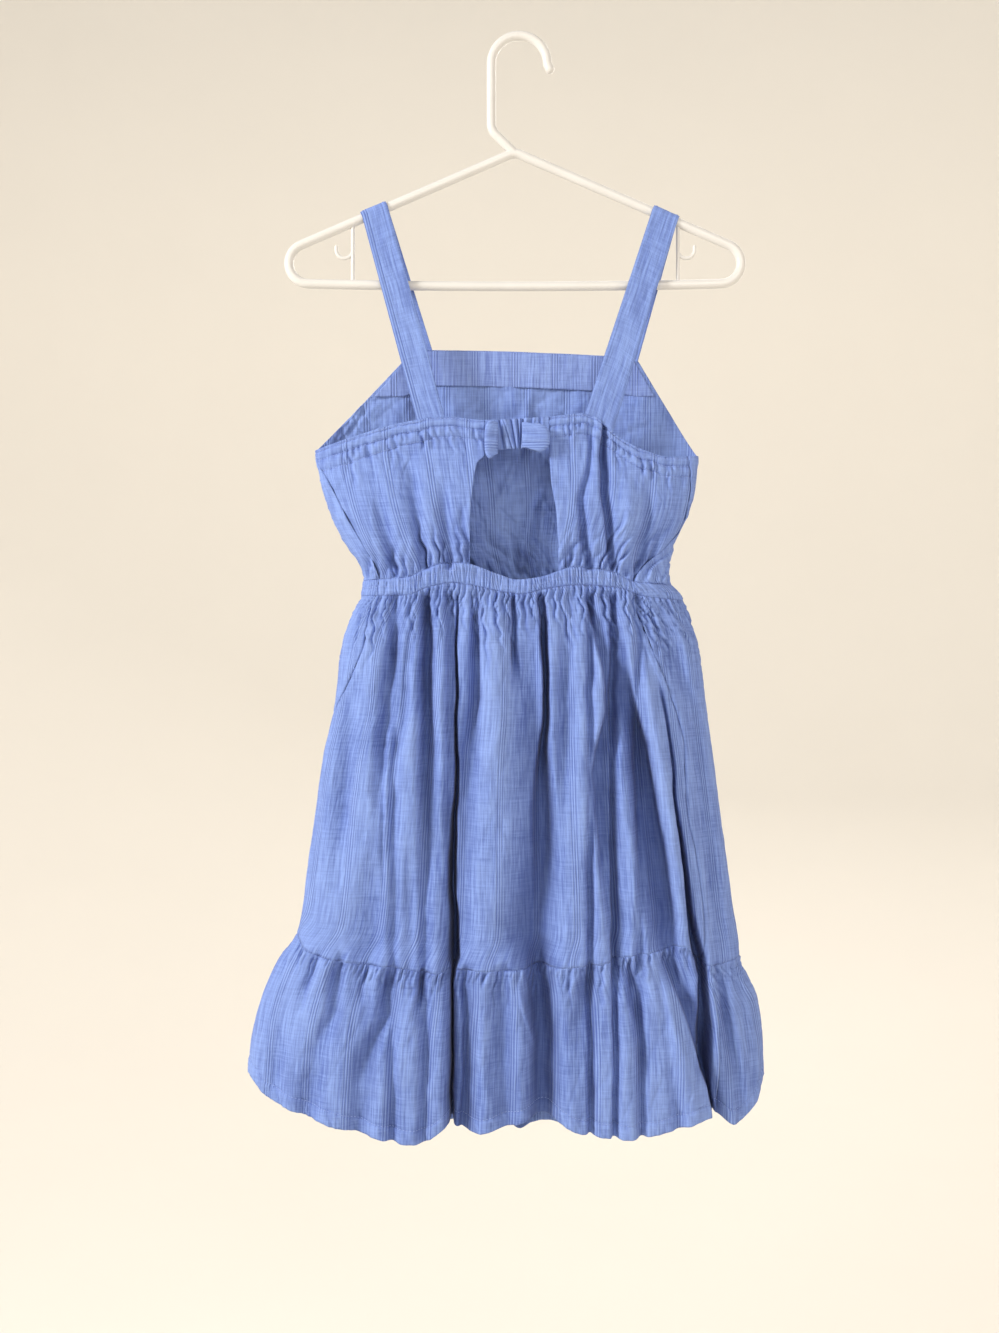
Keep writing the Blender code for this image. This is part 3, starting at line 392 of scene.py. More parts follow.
def line_of(near_table, far_table=None, key="drop"):
    """A line round the form: its drop at an angle."""
    near_line, far_line = (Smooth(t["across"], t[key]) for t in (near_table, far_table or near_table))

    def line(angle):
        across = np.sin(np.radians(angle))
        return np.where(is_near(angle), near_line(across), far_line(across))

    return line


WAIST_TOP = line_of(WAIST_BACK, WAIST_FRONT, "top")
WAIST_BOTTOM = line_of(WAIST_BACK, WAIST_FRONT, "bottom")
RUFFLE_SEAM = line_of(RUFFLE_SEAM_BACK, RUFFLE_SEAM_FRONT)
HEM_EDGE = line_of(HEM_BACK, HEM_FRONT)
BACK_TOP = line_of(BACK_TOP_EDGE)
NECK = line_of(NECKLINE)


def armhole_across(side, drop):
    """Where the front's slanting armhole edge is at a drop, as a share of the half width."""
    edge = -1 if side == "left" else 1
    corner = NECK_CORNERS[side]
    return corner + (edge - corner) * (drop - NECK_CORNER_DROP) / (SIDE_DROP[side] - NECK_CORNER_DROP)


def front_top(angle):
    """The neckline, the armholes down to the sides, and the back's top line where the front wraps round."""
    across = np.sin(np.radians(angle))
    drop = NECK(angle)
    for side, edge in (("left", -1), ("right", 1)):
        corner = NECK_CORNERS[side]
        share = (across - corner) / (edge - corner)
        armhole = NECK_CORNER_DROP + (SIDE_DROP[side] - NECK_CORNER_DROP) * share
        drop = np.where(share > 0, armhole, drop)
    return np.where(is_near(angle), BACK_TOP(angle), drop)


def left_seam_far(drop):
    """The left side seam, reached round the far side."""
    return LEFT_SEAM(drop) + 360


def keyhole_edge(side):
    return lambda drop: near_angle(KEYHOLE_EDGES[side](drop), drop)


# ---------------------------------------------------------------- relief: gathers, creases and hems
def gathers(kind, at, away, strength=1.0):
    """Small pleats along a seam; away is the distance from the seam (mm)."""
    sizes = GATHERS[kind]
    rng = np.random.default_rng(sizes.seed * 7 + at.part)
    total = np.zeros(at.s.shape)
    lowest, highest = at.s.min(axis=0), at.s.max(axis=0)
    place = -SEAM_REACH
    while place < SEAM_REACH:
        place += sizes.spacing * rng.uniform(0.35, 1.65)
        reach = rng.uniform(*sizes.reach) * rng.uniform(0.4, 1.0)
        width = rng.uniform(*sizes.width)
        depth = rng.uniform(*sizes.depth)
        phase, wave_length, lean = rng.uniform(0, 6.3), rng.uniform(13, 30), rng.uniform(-0.06, 0.06)
        fan = sizes.fan * place / FAN_PLACE
        margin = 14 * width + (abs(fan) + 6) * reach / 100 + sizes.waver + 2
        # Only the columns that the pleat reaches are worked out.
        near_it = np.flatnonzero((lowest < place + margin) & (highest > place - margin))
        if not len(near_it):
            continue
        part = slice(near_it[0], near_it[-1] + 1)
        s, off = at.s[:, part], away[:, part]
        waver = sizes.waver * np.sin(off / wave_length * 6.28 + phase) * ramp(off, 0, 12)
        centre = place + (fan * off / 100 + lean * off) + waver
        grown = width * (0.8 + 0.9 * np.clip(off / reach, 0, 1))
        shown = depth * (1 - ramp(off, reach * 0.25, reach)) * ramp(off, -3, 2)
        shoulder = 0.55 * bell(s - centre - 1.8 * grown, 1.2 * grown)
        total[:, part] -= shown * (bell(s - centre, grown) - shoulder)
    return total * strength


def crumple(seed, s, drop):
    """Soft unevenness and creases of washed cotton and linen, longer down the cloth than across it."""
    return (
        1.5 * noise(seed, s, drop, 25, 70)
        + 0.8 * noise(seed + 1, s + 0.25 * drop, drop, 12, 40)
        + 0.3 * noise(seed + 2, s - 0.5 * drop, drop, 6, 15)
        + 0.16 * noise(seed + 3, s, drop, 2.6, 19)
        - 0.5 * bell(noise(seed + 4, s + 0.3 * drop, drop, 18, 44), 0.13)
        - 0.4 * bell(noise(seed + 5, s - 0.6 * drop, drop, 13, 24), 0.15)
    )


def seam_tuck(away, depth=0.6, width=1.0):
    """The cloth turns in along a seam; away is the distance from it."""
    return -depth * bell(away, width)


def sewn_down(*distances):
    """0 on the seams at the given distances and 1 from a few millimetres away, so that seams stay closed."""
    free = 1.0
    for away in distances:
        free = free * ramp(away, -0.6, 2.6)
    return free


def skirt_relief(at):
    """A skirt panel: gathers under the waist, and short ones above the ruffle."""
    fine = crumple(21, at.s, at.drop)
    fine += gathers("below the waist", at, at.below)
    fine += gathers("above the ruffle seam", at, at.above)
    return fine * sewn_down(at.below, at.above) + seam_tuck(at.below) + seam_tuck(at.above) + side_seam(at)


def ruffle_relief(at):
    """The ruffle: gathers under its seam, and a turned-up hem that puckers."""
    uneven = 0.5 * noise(33, at.s, at.s * 0, 9, 9)
    hem_step = 0.9 * ramp(at.above, HEM + 1.2, HEM - 0.8) - 1.1 * bell(at.above - HEM - uneven, 1.1)
    puckers = 0.85 * noise(34, at.s + 0.6 * at.above, at.above, 2.6, 14) * ramp(at.above, 19, 8)
    fine = crumple(31, at.s, at.drop) + hem_step + puckers
    fine += gathers("below the ruffle seam", at, at.below)
    return fine * sewn_down(at.below) + seam_tuck(at.below) + side_seam(at)


def side_seam(at):
    """A sewn-down seam allowance that stands up beside each side seam, and the seam's own groove."""
    allowance = 0.5 * ramp(at.from_side, 7.5, 6.5) * ramp(at.from_side, 0, 1)
    return allowance + seam_tuck(at.from_side, 0.55, 0.9)


def waistband_relief(at):
    """A scrunched casing: the pleats above and below it run on through it."""
    height = at.below + at.above
    share = np.clip(at.below / height, 0, 1)
    round_out = 1.1 * np.sin(np.pi * share) ** 0.4
    ribs = gathers("waist casing", at, 20.0 + at.below)
    ribs += 0.35 * noise(42, at.s - 0.3 * at.below, at.below, 1.4, 5)
    beside_seam = np.ones(at.s.shape)
    pleats = gathers("above the waist", at, beside_seam, 0.5) * (1 - share)
    pleats += gathers("below the waist", at, beside_seam, 0.4) * share
    fine = round_out + ribs + 0.6 * pleats
    return fine * sewn_down(at.below, at.above) + seam_tuck(at.below) + seam_tuck(at.above)


CHANNEL = 9.0  # from the top edge to the stitches between the casing's two channels for elastic
CASING = 18.5  # from the top edge to the casing's lowest stitches


def bodice_relief(at):
    """The back bodice: a casing with elastic along the top edge, and gathers below it and above the waist."""
    casing = ramp(at.below, 21, 17)
    fine = crumple(51, at.s, at.drop) * (1 - 0.5 * casing)
    fine += gathers("below the casing", at, at.below - CHANNEL)
    fine += gathers("above the waist", at, at.above)
    puckers = 0.5 * noise(54, at.s, at.below * 0.4, 2.8, 7)
    puckers += 0.3 * noise(55, at.s + 0.4 * at.below, at.below, 1.8, 5)
    fine += puckers * casing
    stray = 0.9 * noise(56, at.s, at.s * 0, 16, 7) + 0.4 * noise(57, at.s, at.s * 0, 6, 7)
    fine += casing * (0.6 + 0.5 * np.cos((at.below - CHANNEL / 2 - stray) * 2 * np.pi / CHANNEL))
    for line in (2.2, CHANNEL, CASING):
        fine -= 1.2 * bell(at.below - line - stray, 0.8)
    return fine * sewn_down(at.above) + seam_tuck(at.above) + seam_tuck(at.from_side, 0.5, 1.0)


def front_relief(at):
    """The front bodice: calm where the facing lies behind it, and creased below."""
    under_neck = at.drop - NECK(at.angle)
    facing = ramp(under_neck, FACING_DEPTH + 0.8, FACING_DEPTH - 0.6)
    fine = crumple(61, at.s, at.drop) * (1.3 - 1.0 * facing)
    fine += gathers("above the waist", at, at.above)
    fine += gathers("neck", at, at.below, 0.4)
    fine += 0.18 * bell(under_neck - FACING_DEPTH, 0.7)
    creases = 1.5 * bell(noise(67, at.s + 0.9 * at.drop, at.drop - 0.5 * at.s, 17, 40), 0.17)
    creases += 1.0 * bell(noise(68, at.s - 1.2 * at.drop, at.drop, 15, 30), 0.18)
    fine += creases * (1 - 0.7 * facing)
    return fine * sewn_down(at.above) + seam_tuck(at.above) + side_seam(at)


def facing_relief(at):
    """The neck facing, smoother than the bodice."""
    return 0.12 * noise(71, at.s, at.drop, 9, 15) + 0.25 * bell(noise(72, at.s, at.drop, 14, 20), 0.2)


LEAN_FROM = 13  # how far below the top edge the bridge's leaning gathers are at their own place
# place, lean, depth and half width of each gather across the bow's bridge
BRIDGE_GATHERS = (
    (-16, 0.16, 3.4, 1.4), (-11, 0.3, 1.8, 0.7), (-5.5, 0.16, 3.0, 1.1), (-1, 0.05, 2.4, 0.8),
    (2, -0.1, 3.2, 1.2), (10, -0.1, 1.5, 0.8), (18, -0.05, 1.8, 1.0),
)


def bridge_relief(at):
    """Slanted gathers across the bow's bridge."""
    fine = 0.5 * noise(81, at.s, at.drop, 6, 12)
    for place, lean, depth, width in BRIDGE_GATHERS:
        away = at.x - place - lean * (at.below - LEAN_FROM)
        fine += depth * (0.5 * bell(away - 2.4 * width, 1.5 * width) - bell(away, width))
    return fine + seam_tuck(at.above, 0.8, 1.2) + seam_tuck(at.below, 0.5, 1.0)


# ---------------------------------------------------------------- panels
def settle(edge, line, start):
    """Drop where an edge, given as an angle at each drop, meets a line."""
    drop = start
    for _ in range(30):
        drop = float(line(edge(drop)))
    return drop


SMOOTHED_ROWS = 3
EDGE_CALM = 8  # how late folds die away towards the dress's side edges
WAIST_FREE = (8, 15)  # from no fold to a whole fold, in distance from the waist
SIDE_LOSS = 0.55  # share of the relief that is lost at the dress's side edges
FOLD_LIFT = 0.35  # how much a fold's depth counts against the relief's in the cloth's colour, which paints shade into folds


def smooth_rows(values, reach):
    """Each column averaged over a few rows up and down."""
    padded = np.pad(values, ((reach, reach), (0, 0)), mode="edge")
    total = sum(padded[k : k + len(values)] for k in range(2 * reach + 1))
    return total / (2 * reach + 1)


class Sewn:
    """A panel's points, cloth coordinates, relief and distances below its top and above its bottom (mm)."""

    def __init__(self, points, cloth, height, below, above):
        self.points, self.cloth, self.height, self.below, self.above = points, cloth, height, below, above

    def line(self, distance, from_top=True):
        """Points on the cloth's outside, at one distance from the top or the bottom edge."""
        place = self.below - distance if from_top else distance - self.above
        shares = np.array([np.interp(0, column, np.arange(len(column))) for column in place.T])
        low = np.minimum(shares.astype(int), len(self.points) - 2)
        columns = np.arange(len(shares))
        part = (shares - low)[:, None]
        outer = self.points + cloth_normals(self.points) * CLOTH / 2
        return outer[low, columns] * (1 - part) + outer[low + 1, columns] * part


def cloth_normals(grid):
    """Outward unit normals of a grid of points."""
    normals = np.cross(np.gradient(grid, axis=0), np.gradient(grid, axis=1))
    return normals / (np.linalg.norm(normals, axis=-1, keepdims=True) + 1e-12)


def panel(first, last, top, bottom, starts, rows, columns, relief, moved_out=0.0, crowd=0.0):
    """A sewn panel between two edges and two lines.

    Rows are closer together towards the top where crowd is above 0. Columns are spread evenly along the
    folded cloth in each row, so that a fold's walls get their share.
    """
    tops = [settle(edge, top, starts[0]) for edge in (first, last)]
    bottoms = [settle(edge, bottom, starts[1]) for edge in (first, last)]
    v = np.linspace(0, 1, rows + 1)[:, None]
    v = (1 - crowd) * v + crowd * v**2
    angle_a = first(tops[0] + (bottoms[0] - tops[0]) * v)
    angle_b = last(tops[1] + (bottoms[1] - tops[1]) * v)

    def sample(u, s=None):
        """The places on the form at shares u of the panel's width: arrays of rows by columns."""
        at = SimpleNamespace()
        at.angle = angle_a + (angle_b - angle_a) * u
        at.top = top(angle_a[0] + (angle_b[0] - angle_a[0]) * u)
        at.bottom = bottom(angle_a[-1] + (angle_b[-1] - angle_a[-1]) * u)
        at.drop = at.top + (at.bottom - at.top) * v
        at.below, at.above = at.drop - at.top, at.bottom - at.drop
        at.x, at.y, at.across = ring(at.angle, at.drop)
        if s is None:
            steps = np.hypot(np.diff(at.x, axis=1), np.diff(at.y, axis=1))
            s = np.pad(np.cumsum(steps, axis=1), ((0, 0), (1, 0)))
            s = s - s[:, -1:] / 2
        at.s = s
        at.part = int(np.cos(np.radians(at.angle)).mean() < 0)
        return at

    def displaced(at, half):
        """The cloth's points with its folds and its relief, and how far each one stands out, from which the
        cloth's colour gets its painted shade and wear.
        """
        at.from_side = half - np.abs(at.s)
        near = is_near(at.angle)
        hold = (1 - np.abs(at.across) ** EDGE_CALM) * ramp(np.abs(at.drop - WAIST_MIDDLE), *WAIST_FREE)
        near_pressed, far_pressed = (fold_depth(folds, at.x, at.drop) for folds in (NEAR_FOLDS, FAR_FOLDS))
        pressed = np.where(near, near_pressed, far_pressed) * hold
        fine = relief(at) * (1 - SIDE_LOSS * np.abs(at.across) ** 10) + moved_out
        nx, ny = ring_normal(at.angle, at.drop)
        y = at.y + np.where(near, 1, -1) * pressed
        points = np.stack((at.x + nx * fine, y + ny * fine, -at.drop), axis=-1)
        return points, fine - FOLD_LIFT * pressed

    fine_u = np.linspace(0, 1, FINE + 1)[None, :] * np.ones((rows + 1, 1))
    base = sample(fine_u)
    half = base.s[:, -1:]
    points, _ = displaced(base, half)
    seen_steps = np.linalg.norm(np.diff(points, axis=1) * (1, WALL_SHARE, 1), axis=-1)
    seen = np.pad(np.cumsum(seen_steps, axis=1), ((0, 0), (1, 0)))
    shares = np.linspace(0, 1, columns + 1)
    u = np.array([np.interp(shares * a[-1], a, f) for a, f in zip(seen, fine_u)])
    u = smooth_rows(u, SMOOTHED_ROWS)
    at = sample(u, np.array([np.interp(row, f, b) for row, f, b in zip(u, fine_u, base.s)]))
    points, height = displaced(at, half)
    # Threads run straight down: they are counted along the ring without its folds, from one angle, and
    # gathered cloth is closer where it is narrow.
    middle = base.angle[-1, FINE // 2]
    origin = np.array([np.interp(middle, row, b) for row, b in zip(base.angle, base.s)])[:, None]
    width = (SECTION["right"](at.drop) - SECTION["left"](at.drop)).mean(axis=1, keepdims=True)
    cloth_u = (at.s - origin) * width.max() / width
    return Sewn(points, np.stack((cloth_u, at.drop), axis=-1), height, at.below, at.above)


def mesh_object(name, vertices, faces, finish):
    """A smooth object from arrays of vertices (mm) and of faces that all have the same number of corners."""
    mesh = bpy.data.meshes.new(name)
    mesh.vertices.add(len(vertices))
    mesh.vertices.foreach_set("co", (vertices * MM).ravel())
    mesh.loops.add(faces.size)
    mesh.loops.foreach_set("vertex_index", faces.ravel())
    mesh.polygons.add(len(faces))
    mesh.polygons.foreach_set("loop_start", np.arange(0, faces.size, faces.shape[1]))
    mesh.update(calc_edges=True)
    mesh.validate()
    mesh.shade_smooth()
    mesh.materials.append(finish)
    made = bpy.data.objects.new(name, mesh)
    bpy.context.scene.collection.objects.link(made)
    return made


def joined(solids):
    """The vertices and the faces of several solids as one."""
    starts = np.cumsum([0] + [len(points) for points, _ in solids])
    vertices = np.concatenate([points for points, _ in solids])
    return vertices, np.concatenate([faces + start for (_, faces), start in zip(solids, starts)])


def round_faces(a, b):
    """Four-cornered faces between rings of vertices a and b, whose numbers run round along the last axis."""
    return np.stack((a, np.roll(a, -1, axis=-1), np.roll(b, -1, axis=-1), b), axis=-1).reshape(-1, 4)


def shell(name, sewn, finish, thickness=CLOTH):
    """A closed thin shell round a panel's points, with cloth coordinates in metres as its UV map."""
    grid = sewn.points
    rows, columns = grid.shape[:2]
    normals = cloth_normals(grid)
    outer = (grid + normals * thickness / 2).reshape(-1, 3)
    inner = (grid - normals * thickness / 2).reshape(-1, 3)
    count = rows * columns
    index = np.arange(count).reshape(rows, columns)
    corners = (index[:-1, :-1], index[1:, :-1], index[1:, 1:], index[:-1, 1:])
    quads = np.stack([corner.ravel() for corner in corners], axis=-1)
    rim = np.concatenate((index[0], index[1:, -1], index[-1, -2::-1], index[-2:0:-1, 0]))
    after = np.roll(rim, -1)
    edge = np.stack((rim, after, after + count, rim + count), axis=-1)
    faces = np.concatenate((quads, quads[:, ::-1] + count, edge))
    made = mesh_object(name, np.concatenate((outer, inner)), faces, finish)
    coordinates = np.tile(sewn.cloth.reshape(-1, 2) * MM, (2, 1))
    uv = made.data.uv_layers.new(name="cloth")
    uv.data.foreach_set("uv", coordinates[faces.ravel()].ravel())
    # how far the cloth stands out, from which the chambray paints wear and shade into its colour
    lift = made.data.attributes.new("lift", "FLOAT", "POINT")
    lift.data.foreach_set("value", np.tile(sewn.height.ravel(), 2).astype(np.float32))
    return made


# ---------------------------------------------------------------- materials
class Nodes:
    """Short calls that add shader nodes to one material."""

    def __init__(self, name):
        self.material = bpy.data.materials.new(name)
        self.material.use_nodes = True
        self.tree = self.material.node_tree

    def connect(self, node, inputs):
        """Links the inputs that come from another node and sets the others."""
        for key, value in inputs.items():
            if isinstance(value, bpy.types.NodeSocket):
                self.tree.links.new(value, node.inputs[key])
            else:
                node.inputs[key].default_value = value

    def add(self, kind, inputs=None, **settings):
        node = self.tree.nodes.new(kind)
        for key, value in settings.items():
            setattr(node, key, value)
        self.connect(node, inputs or {})
        return node

    def math(self, operation, *values):
        return self.add("ShaderNodeMath", dict(enumerate(values)), operation=operation).outputs[0]

    def noise(self, vector, scale, detail=2.0, roughness=0.5):
        """Noise whose cells are 1/scale metres along each axis."""
        mapped = self.add("ShaderNodeVectorMath", {0: vector, 1: scale}, operation="MULTIPLY").outputs[0]
        inputs = {"Vector": mapped, "Scale": 1.0, "Detail": detail, "Roughness": roughness}
        return self.add("ShaderNodeTexNoise", inputs).outputs["Fac"]

    def mix(self, share, first, second):
        """The first colour, with a share of the second."""
        return self.add("ShaderNodeMix", {0: share, 6: first, 7: second}, data_type="RGBA").outputs[2]

    def spread(self, value, start, end, low, high):
        """A value from start to end as one from low to high."""
        return self.add("ShaderNodeMapRange", {0: value, 1: start, 2: end, 3: low, 4: high}).outputs[0]

    def finish(self, height, strength, distance, inputs):
        """Gives the surface its inputs and a bump from a height."""
        bump = self.add("ShaderNodeBump", {"Height": height, "Strength": strength, "Distance": distance})
        self.connect(self.tree.nodes["Principled BSDF"], {"Normal": bump.outputs[0], **inputs})
        return self.material


RIB_GROUP = 0.037  # metres between the groups of drawn cords
RIB_PITCH = 0.0024
RIB_WIDTH = 0.0072  # of a group


def chambray(name, deep, light, pale):
    """Slubby cotton and linen chambray: a two-tone weave with groups of drawn cords, worn paler where it
    stands out, and darkened by painted shade in creases and folds.
    """
    # painted shade: a darker copy of the deep blue, for the bottoms of deep folds
    painted_fold_shade = (*[0.55 * c for c in deep], 1)
    deep, light, pale = ((*colour, 1) for colour in (deep, light, pale))
    nodes = Nodes(name)
    uv = nodes.add("ShaderNodeUVMap", uv_map="cloth").outputs["UV"]
    warp = nodes.noise(uv, (1500, 60, 1), 0.0)
    weft = nodes.noise(uv, (60, 1400, 1), 0.0)
    warp_slub = nodes.noise(uv, (520, 22, 1), 1.0)
    weft_slub = nodes.noise(uv, (30, 480, 1), 1.0)
    patches = nodes.noise(uv, (26, 13, 1))
    up_and_down = nodes.math("MULTIPLY_ADD", warp_slub, 1.5, warp)
    across_it = nodes.math("MULTIPLY_ADD", weft_slub, 0.6, nodes.math("MULTIPLY", weft, 0.5))
    grain = nodes.math("MULTIPLY_ADD", nodes.math("ADD", up_and_down, across_it), 1.35, -1.93)
    grain = nodes.add("ShaderNodeClamp", {0: grain}).outputs[0]

    across = nodes.add("ShaderNodeSeparateXYZ", {0: uv}).outputs[0]
    wobble = nodes.math("MULTIPLY", nodes.noise(uv, (1, 11, 1), 0.0), 0.0016)
    strayed = nodes.math("ADD", nodes.math("ADD", across, wobble), 30 * RIB_GROUP)  # kept above 0
    place = nodes.math("MODULO", strayed, RIB_GROUP)
    inside = nodes.math("LESS_THAN", place, RIB_WIDTH)
    cords = nodes.math("COSINE", nodes.math("MULTIPLY", place, 2 * math.pi / RIB_PITCH))
    ribs = nodes.math("MULTIPLY", nodes.math("MULTIPLY_ADD", cords, 0.5, 0.5), inside)

    lift = nodes.add("ShaderNodeAttribute", attribute_name="lift").outputs["Fac"]
    # paler where the cloth stands out, as wear, and darker in creases and folds, as painted shade
    wear_and_painted_shade = nodes.spread(lift, -2.0, 2.6, 0.0, 1.0)
    faded = nodes.mix(nodes.math("MULTIPLY", patches, 0.42), nodes.mix(grain, deep, light), pale)
    wear_and_shade_colour = nodes.mix(nodes.math("MULTIPLY", wear_and_painted_shade, 0.3), faded, pale)
    between_cords = nodes.math("SUBTRACT", inside, ribs)
    grooved = nodes.mix(nodes.math("MULTIPLY", between_cords, 0.55), wear_and_shade_colour, deep)
    ribbed = nodes.mix(nodes.math("MULTIPLY", ribs, 0.4), grooved, pale)
    # painted shade: deep in the folds the colour darkens towards a darker blue
    shaded = nodes.mix(nodes.spread(lift, -1.0, -7.0, 0.0, 0.6), ribbed, painted_fold_shade)

    threads = nodes.math("MULTIPLY", nodes.math("ADD", warp, weft), 0.15)
    slubs = nodes.math("MULTIPLY_ADD", warp_slub, 0.4, threads)
    crumpled = nodes.noise(uv, (190, 60, 1))
    height = nodes.math("ADD", slubs, nodes.math("MULTIPLY_ADD", ribs, 0.35, crumpled))
    look = {"Base Color": shaded, "Roughness": nodes.spread(grain, 0.0, 1.0, 0.95, 0.84)}
    look |= {"Specular IOR Level": 0.2, "Sheen Weight": 0.06, "Sheen Roughness": 0.5}
    return nodes.finish(height, 0.9, 0.001, look)


def thread_material():
    """Twisted sewing thread."""
    nodes = Nodes("sewing thread")
    where = nodes.add("ShaderNodeTexCoord").outputs["Object"]
    twist = nodes.noise(where, (900, 900, 2600))
    colour = nodes.mix(twist, (0.13, 0.19, 0.45, 1), (0.36, 0.46, 0.78, 1))
    return nodes.finish(twist, 0.6, 0.0002, {"Base Color": colour, "Roughness": 0.7})


def plastic_material():
    """White moulded plastic with faint flow marks and handling wear."""
    nodes = Nodes("white plastic")
    where = nodes.add("ShaderNodeTexCoord").outputs["Object"]
    flow = nodes.noise(where, (30, 30, 70), 3.0)
    scuffs = nodes.noise(where, (420, 420, 420), 4.0, 0.6)
    colour = nodes.mix(flow, (0.61, 0.60, 0.57, 1), (0.69, 0.68, 0.655, 1))
    rough = nodes.spread(scuffs, 0.0, 1.0, 0.22, 0.42)
    return nodes.finish(flow, 0.25, 0.0006, {"Base Color": colour, "Roughness": rough, "Coat Weight": 0.15})


def wall_material():
    nodes = Nodes("pale stage")
    where = nodes.add("ShaderNodeTexCoord").outputs["Object"]
    tone = nodes.mix(nodes.noise(where, (3, 3, 3)), (0.80, 0.765, 0.70, 1), (0.82, 0.785, 0.72, 1))
    nodes.connect(nodes.tree.nodes["Principled BSDF"], {"Base Color": tone, "Roughness": 0.95})
    return nodes.material


OUTSIDE = chambray("chambray", (0.055, 0.095, 0.34), (0.17, 0.26, 0.60), (0.30, 0.42, 0.76))
# the inside copy is lighter in all three colours: painted light for the facing, which lies in the shade
# inside the dress
LIGHTENED_INSIDE = chambray("chambray inside painted lighter", (0.07, 0.11, 0.36), (0.20, 0.29, 0.62), (0.32, 0.43, 0.76))
THREAD = thread_material()
PLASTIC = plastic_material()


# ---------------------------------------------------------------- making the pieces
SEWN = {}  # each panel as sewn, for the stitches on it


def place(piece, node, slot="chambray"):
    """Hides the CAD node that a piece stands for and hangs the piece from the root."""
    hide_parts(node)
    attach(piece, "root")
    return piece


def back_and_front(name, top, bottom, starts, rows, columns, relief, flats):
    """The near and the far piece of a tube round the dress."""
    sides = (("back", LEFT_SEAM, RIGHT_SEAM), ("front", RIGHT_SEAM, left_seam_far))
    for (side, first, last), count, flat in zip(sides, columns, flats):
        sewn = panel(first, last, top, bottom, starts, rows, count, relief)
        piece = place(shell(f"{name}_{side}_cloth", sewn, OUTSIDE), f"{name}_{side}")
        SEWN[f"{name}_{side}"] = sewn


def make_skirt():
    flats = ((0.50, 0.34), (0.50, 0.34))
    back_and_front("skirt", WAIST_BOTTOM, RUFFLE_SEAM, (506, 830), 124, (350, 200), skirt_relief, flats)


def make_ruffle():
    flats = ((0.80, 0.16), (0.66, 0.16))
    back_and_front("ruffle", RUFFLE_SEAM, HEM_EDGE, (830, 940), 96, (440, 230), ruffle_relief, flats)


def make_waistband():
    flats = ((0.30, 0.018), (0.36, 0.018))
    back_and_front("waistband", WAIST_TOP, WAIST_BOTTOM, (492, 506), 14, (420, 300), waistband_relief, flats)


def make_back_bodice():
    halves = (
        ("left", LEFT_SEAM, keyhole_edge("left"), (374, 485)),
        ("right", keyhole_edge("right"), RIGHT_SEAM, (350, 490)),
    )
    for side, first, last, starts in halves:
        sewn = panel(first, last, BACK_TOP, WAIST_TOP, starts, 105, 150, bodice_relief, crowd=0.5)
        piece = place(shell(f"bodice_{side}_cloth", sewn, OUTSIDE), f"back_bodice_{side}")
        SEWN[f"bodice_{side}"] = sewn


def make_front_bodice():
    sewn = panel(RIGHT_SEAM, left_seam_far, front_top, WAIST_TOP, (378, 490), 90, 220, front_relief)
    piece = place(shell("front_bodice_cloth", sewn, OUTSIDE), "front_bodice")
    SEWN["front"] = sewn


def make_facing():
    """The neck facing inside the front: just below the neckline, and just inside the armholes."""

    def edge(side):
        return lambda drop: 180 - np.degrees(np.arcsin(armhole_across(side, drop) * 0.97))

    def below_neck(distance):
        return lambda angle: NECK(angle) + distance

    edges = edge("right"), edge("left"), below_neck(0.9), below_neck(FACING_DEPTH)
    sewn = panel(*edges, (290, 322), 24, 150, facing_relief, moved_out=-0.7)
    # the facing gets the lighter inside copy of the chambray, painted light inside the dress
    piece = place(shell("neck_facing_cloth", sewn, LIGHTENED_INSIDE, 0.3), "front_neck_facing", "chambray_inside")


# ---------------------------------------------------------------- straps and bow
TUBE_RADIUS = 4.25
HANGER_MIDDLE = -4.0
HANGER_APEX_DROP = 102.0
BAR_DROP = 221.5
STRUTS = (-147.5, 148.5)  # places of the small hooks' struts from the hanger's middle
STRUT_RADIUS = 1.8
SHOULDER_SLOPE = math.radians(23.4)
STRAP_WIDTH = 25.0
STRAP_OVERLAP = 1.2  # how far a strap's end reaches below the edge that it is sewn to
DOUBLE_CLOTH = 1.4
STRAPS = {
    "strap_left": {"near_x": -79.5, "bar_x": -131.0, "far_x": -92.0, "flat": (0.31, 0.05)},
    "strap_right": {"near_x": 71.0, "bar_x": 132.0, "far_x": 96.5, "flat": (0.32, 0.05)},
}
LOOP_CLOTH = 0.9
# x, drop and half height at the root and at the tip, opening to the back, droop and flat size
Loop = namedtuple("Loop", "root_x tip_x root_drop tip_drop root_half tip_half opening droop flat")
BOW_LOOPS = {
    "bow_loop_left": Loop(-19.5, -31.0, 366.0, 368.0, 14.0, 15.0, 8.5, 2.0, (0.044, 0.026)),
    "bow_loop_right": Loop(2.0, 26.5, 363.0, 366.5, 11.0, 14.0, 8.0, -1.5, (0.060, 0.026)),
}


def shoulder_drop(x):
    """Drop of the shoulder bar's centre line at x."""
    return HANGER_APEX_DROP + abs(x - HANGER_MIDDLE) * math.tan(SHOULDER_SLOPE)


def form_points(x, line, far):
    """Points on the form just below where a line passes each x; the near ones are behind the cloth."""
    drop = np.full(x.shape, 380.0)
    for _ in range(20):
        angle = near_angle(x, drop)
        angle = 180 - angle if far else angle
        drop = line(angle)
    _, y, _ = ring(angle, drop)
    return np.stack((x, y + (0 if far else 1.0), -drop - STRAP_OVERLAP), axis=-1)


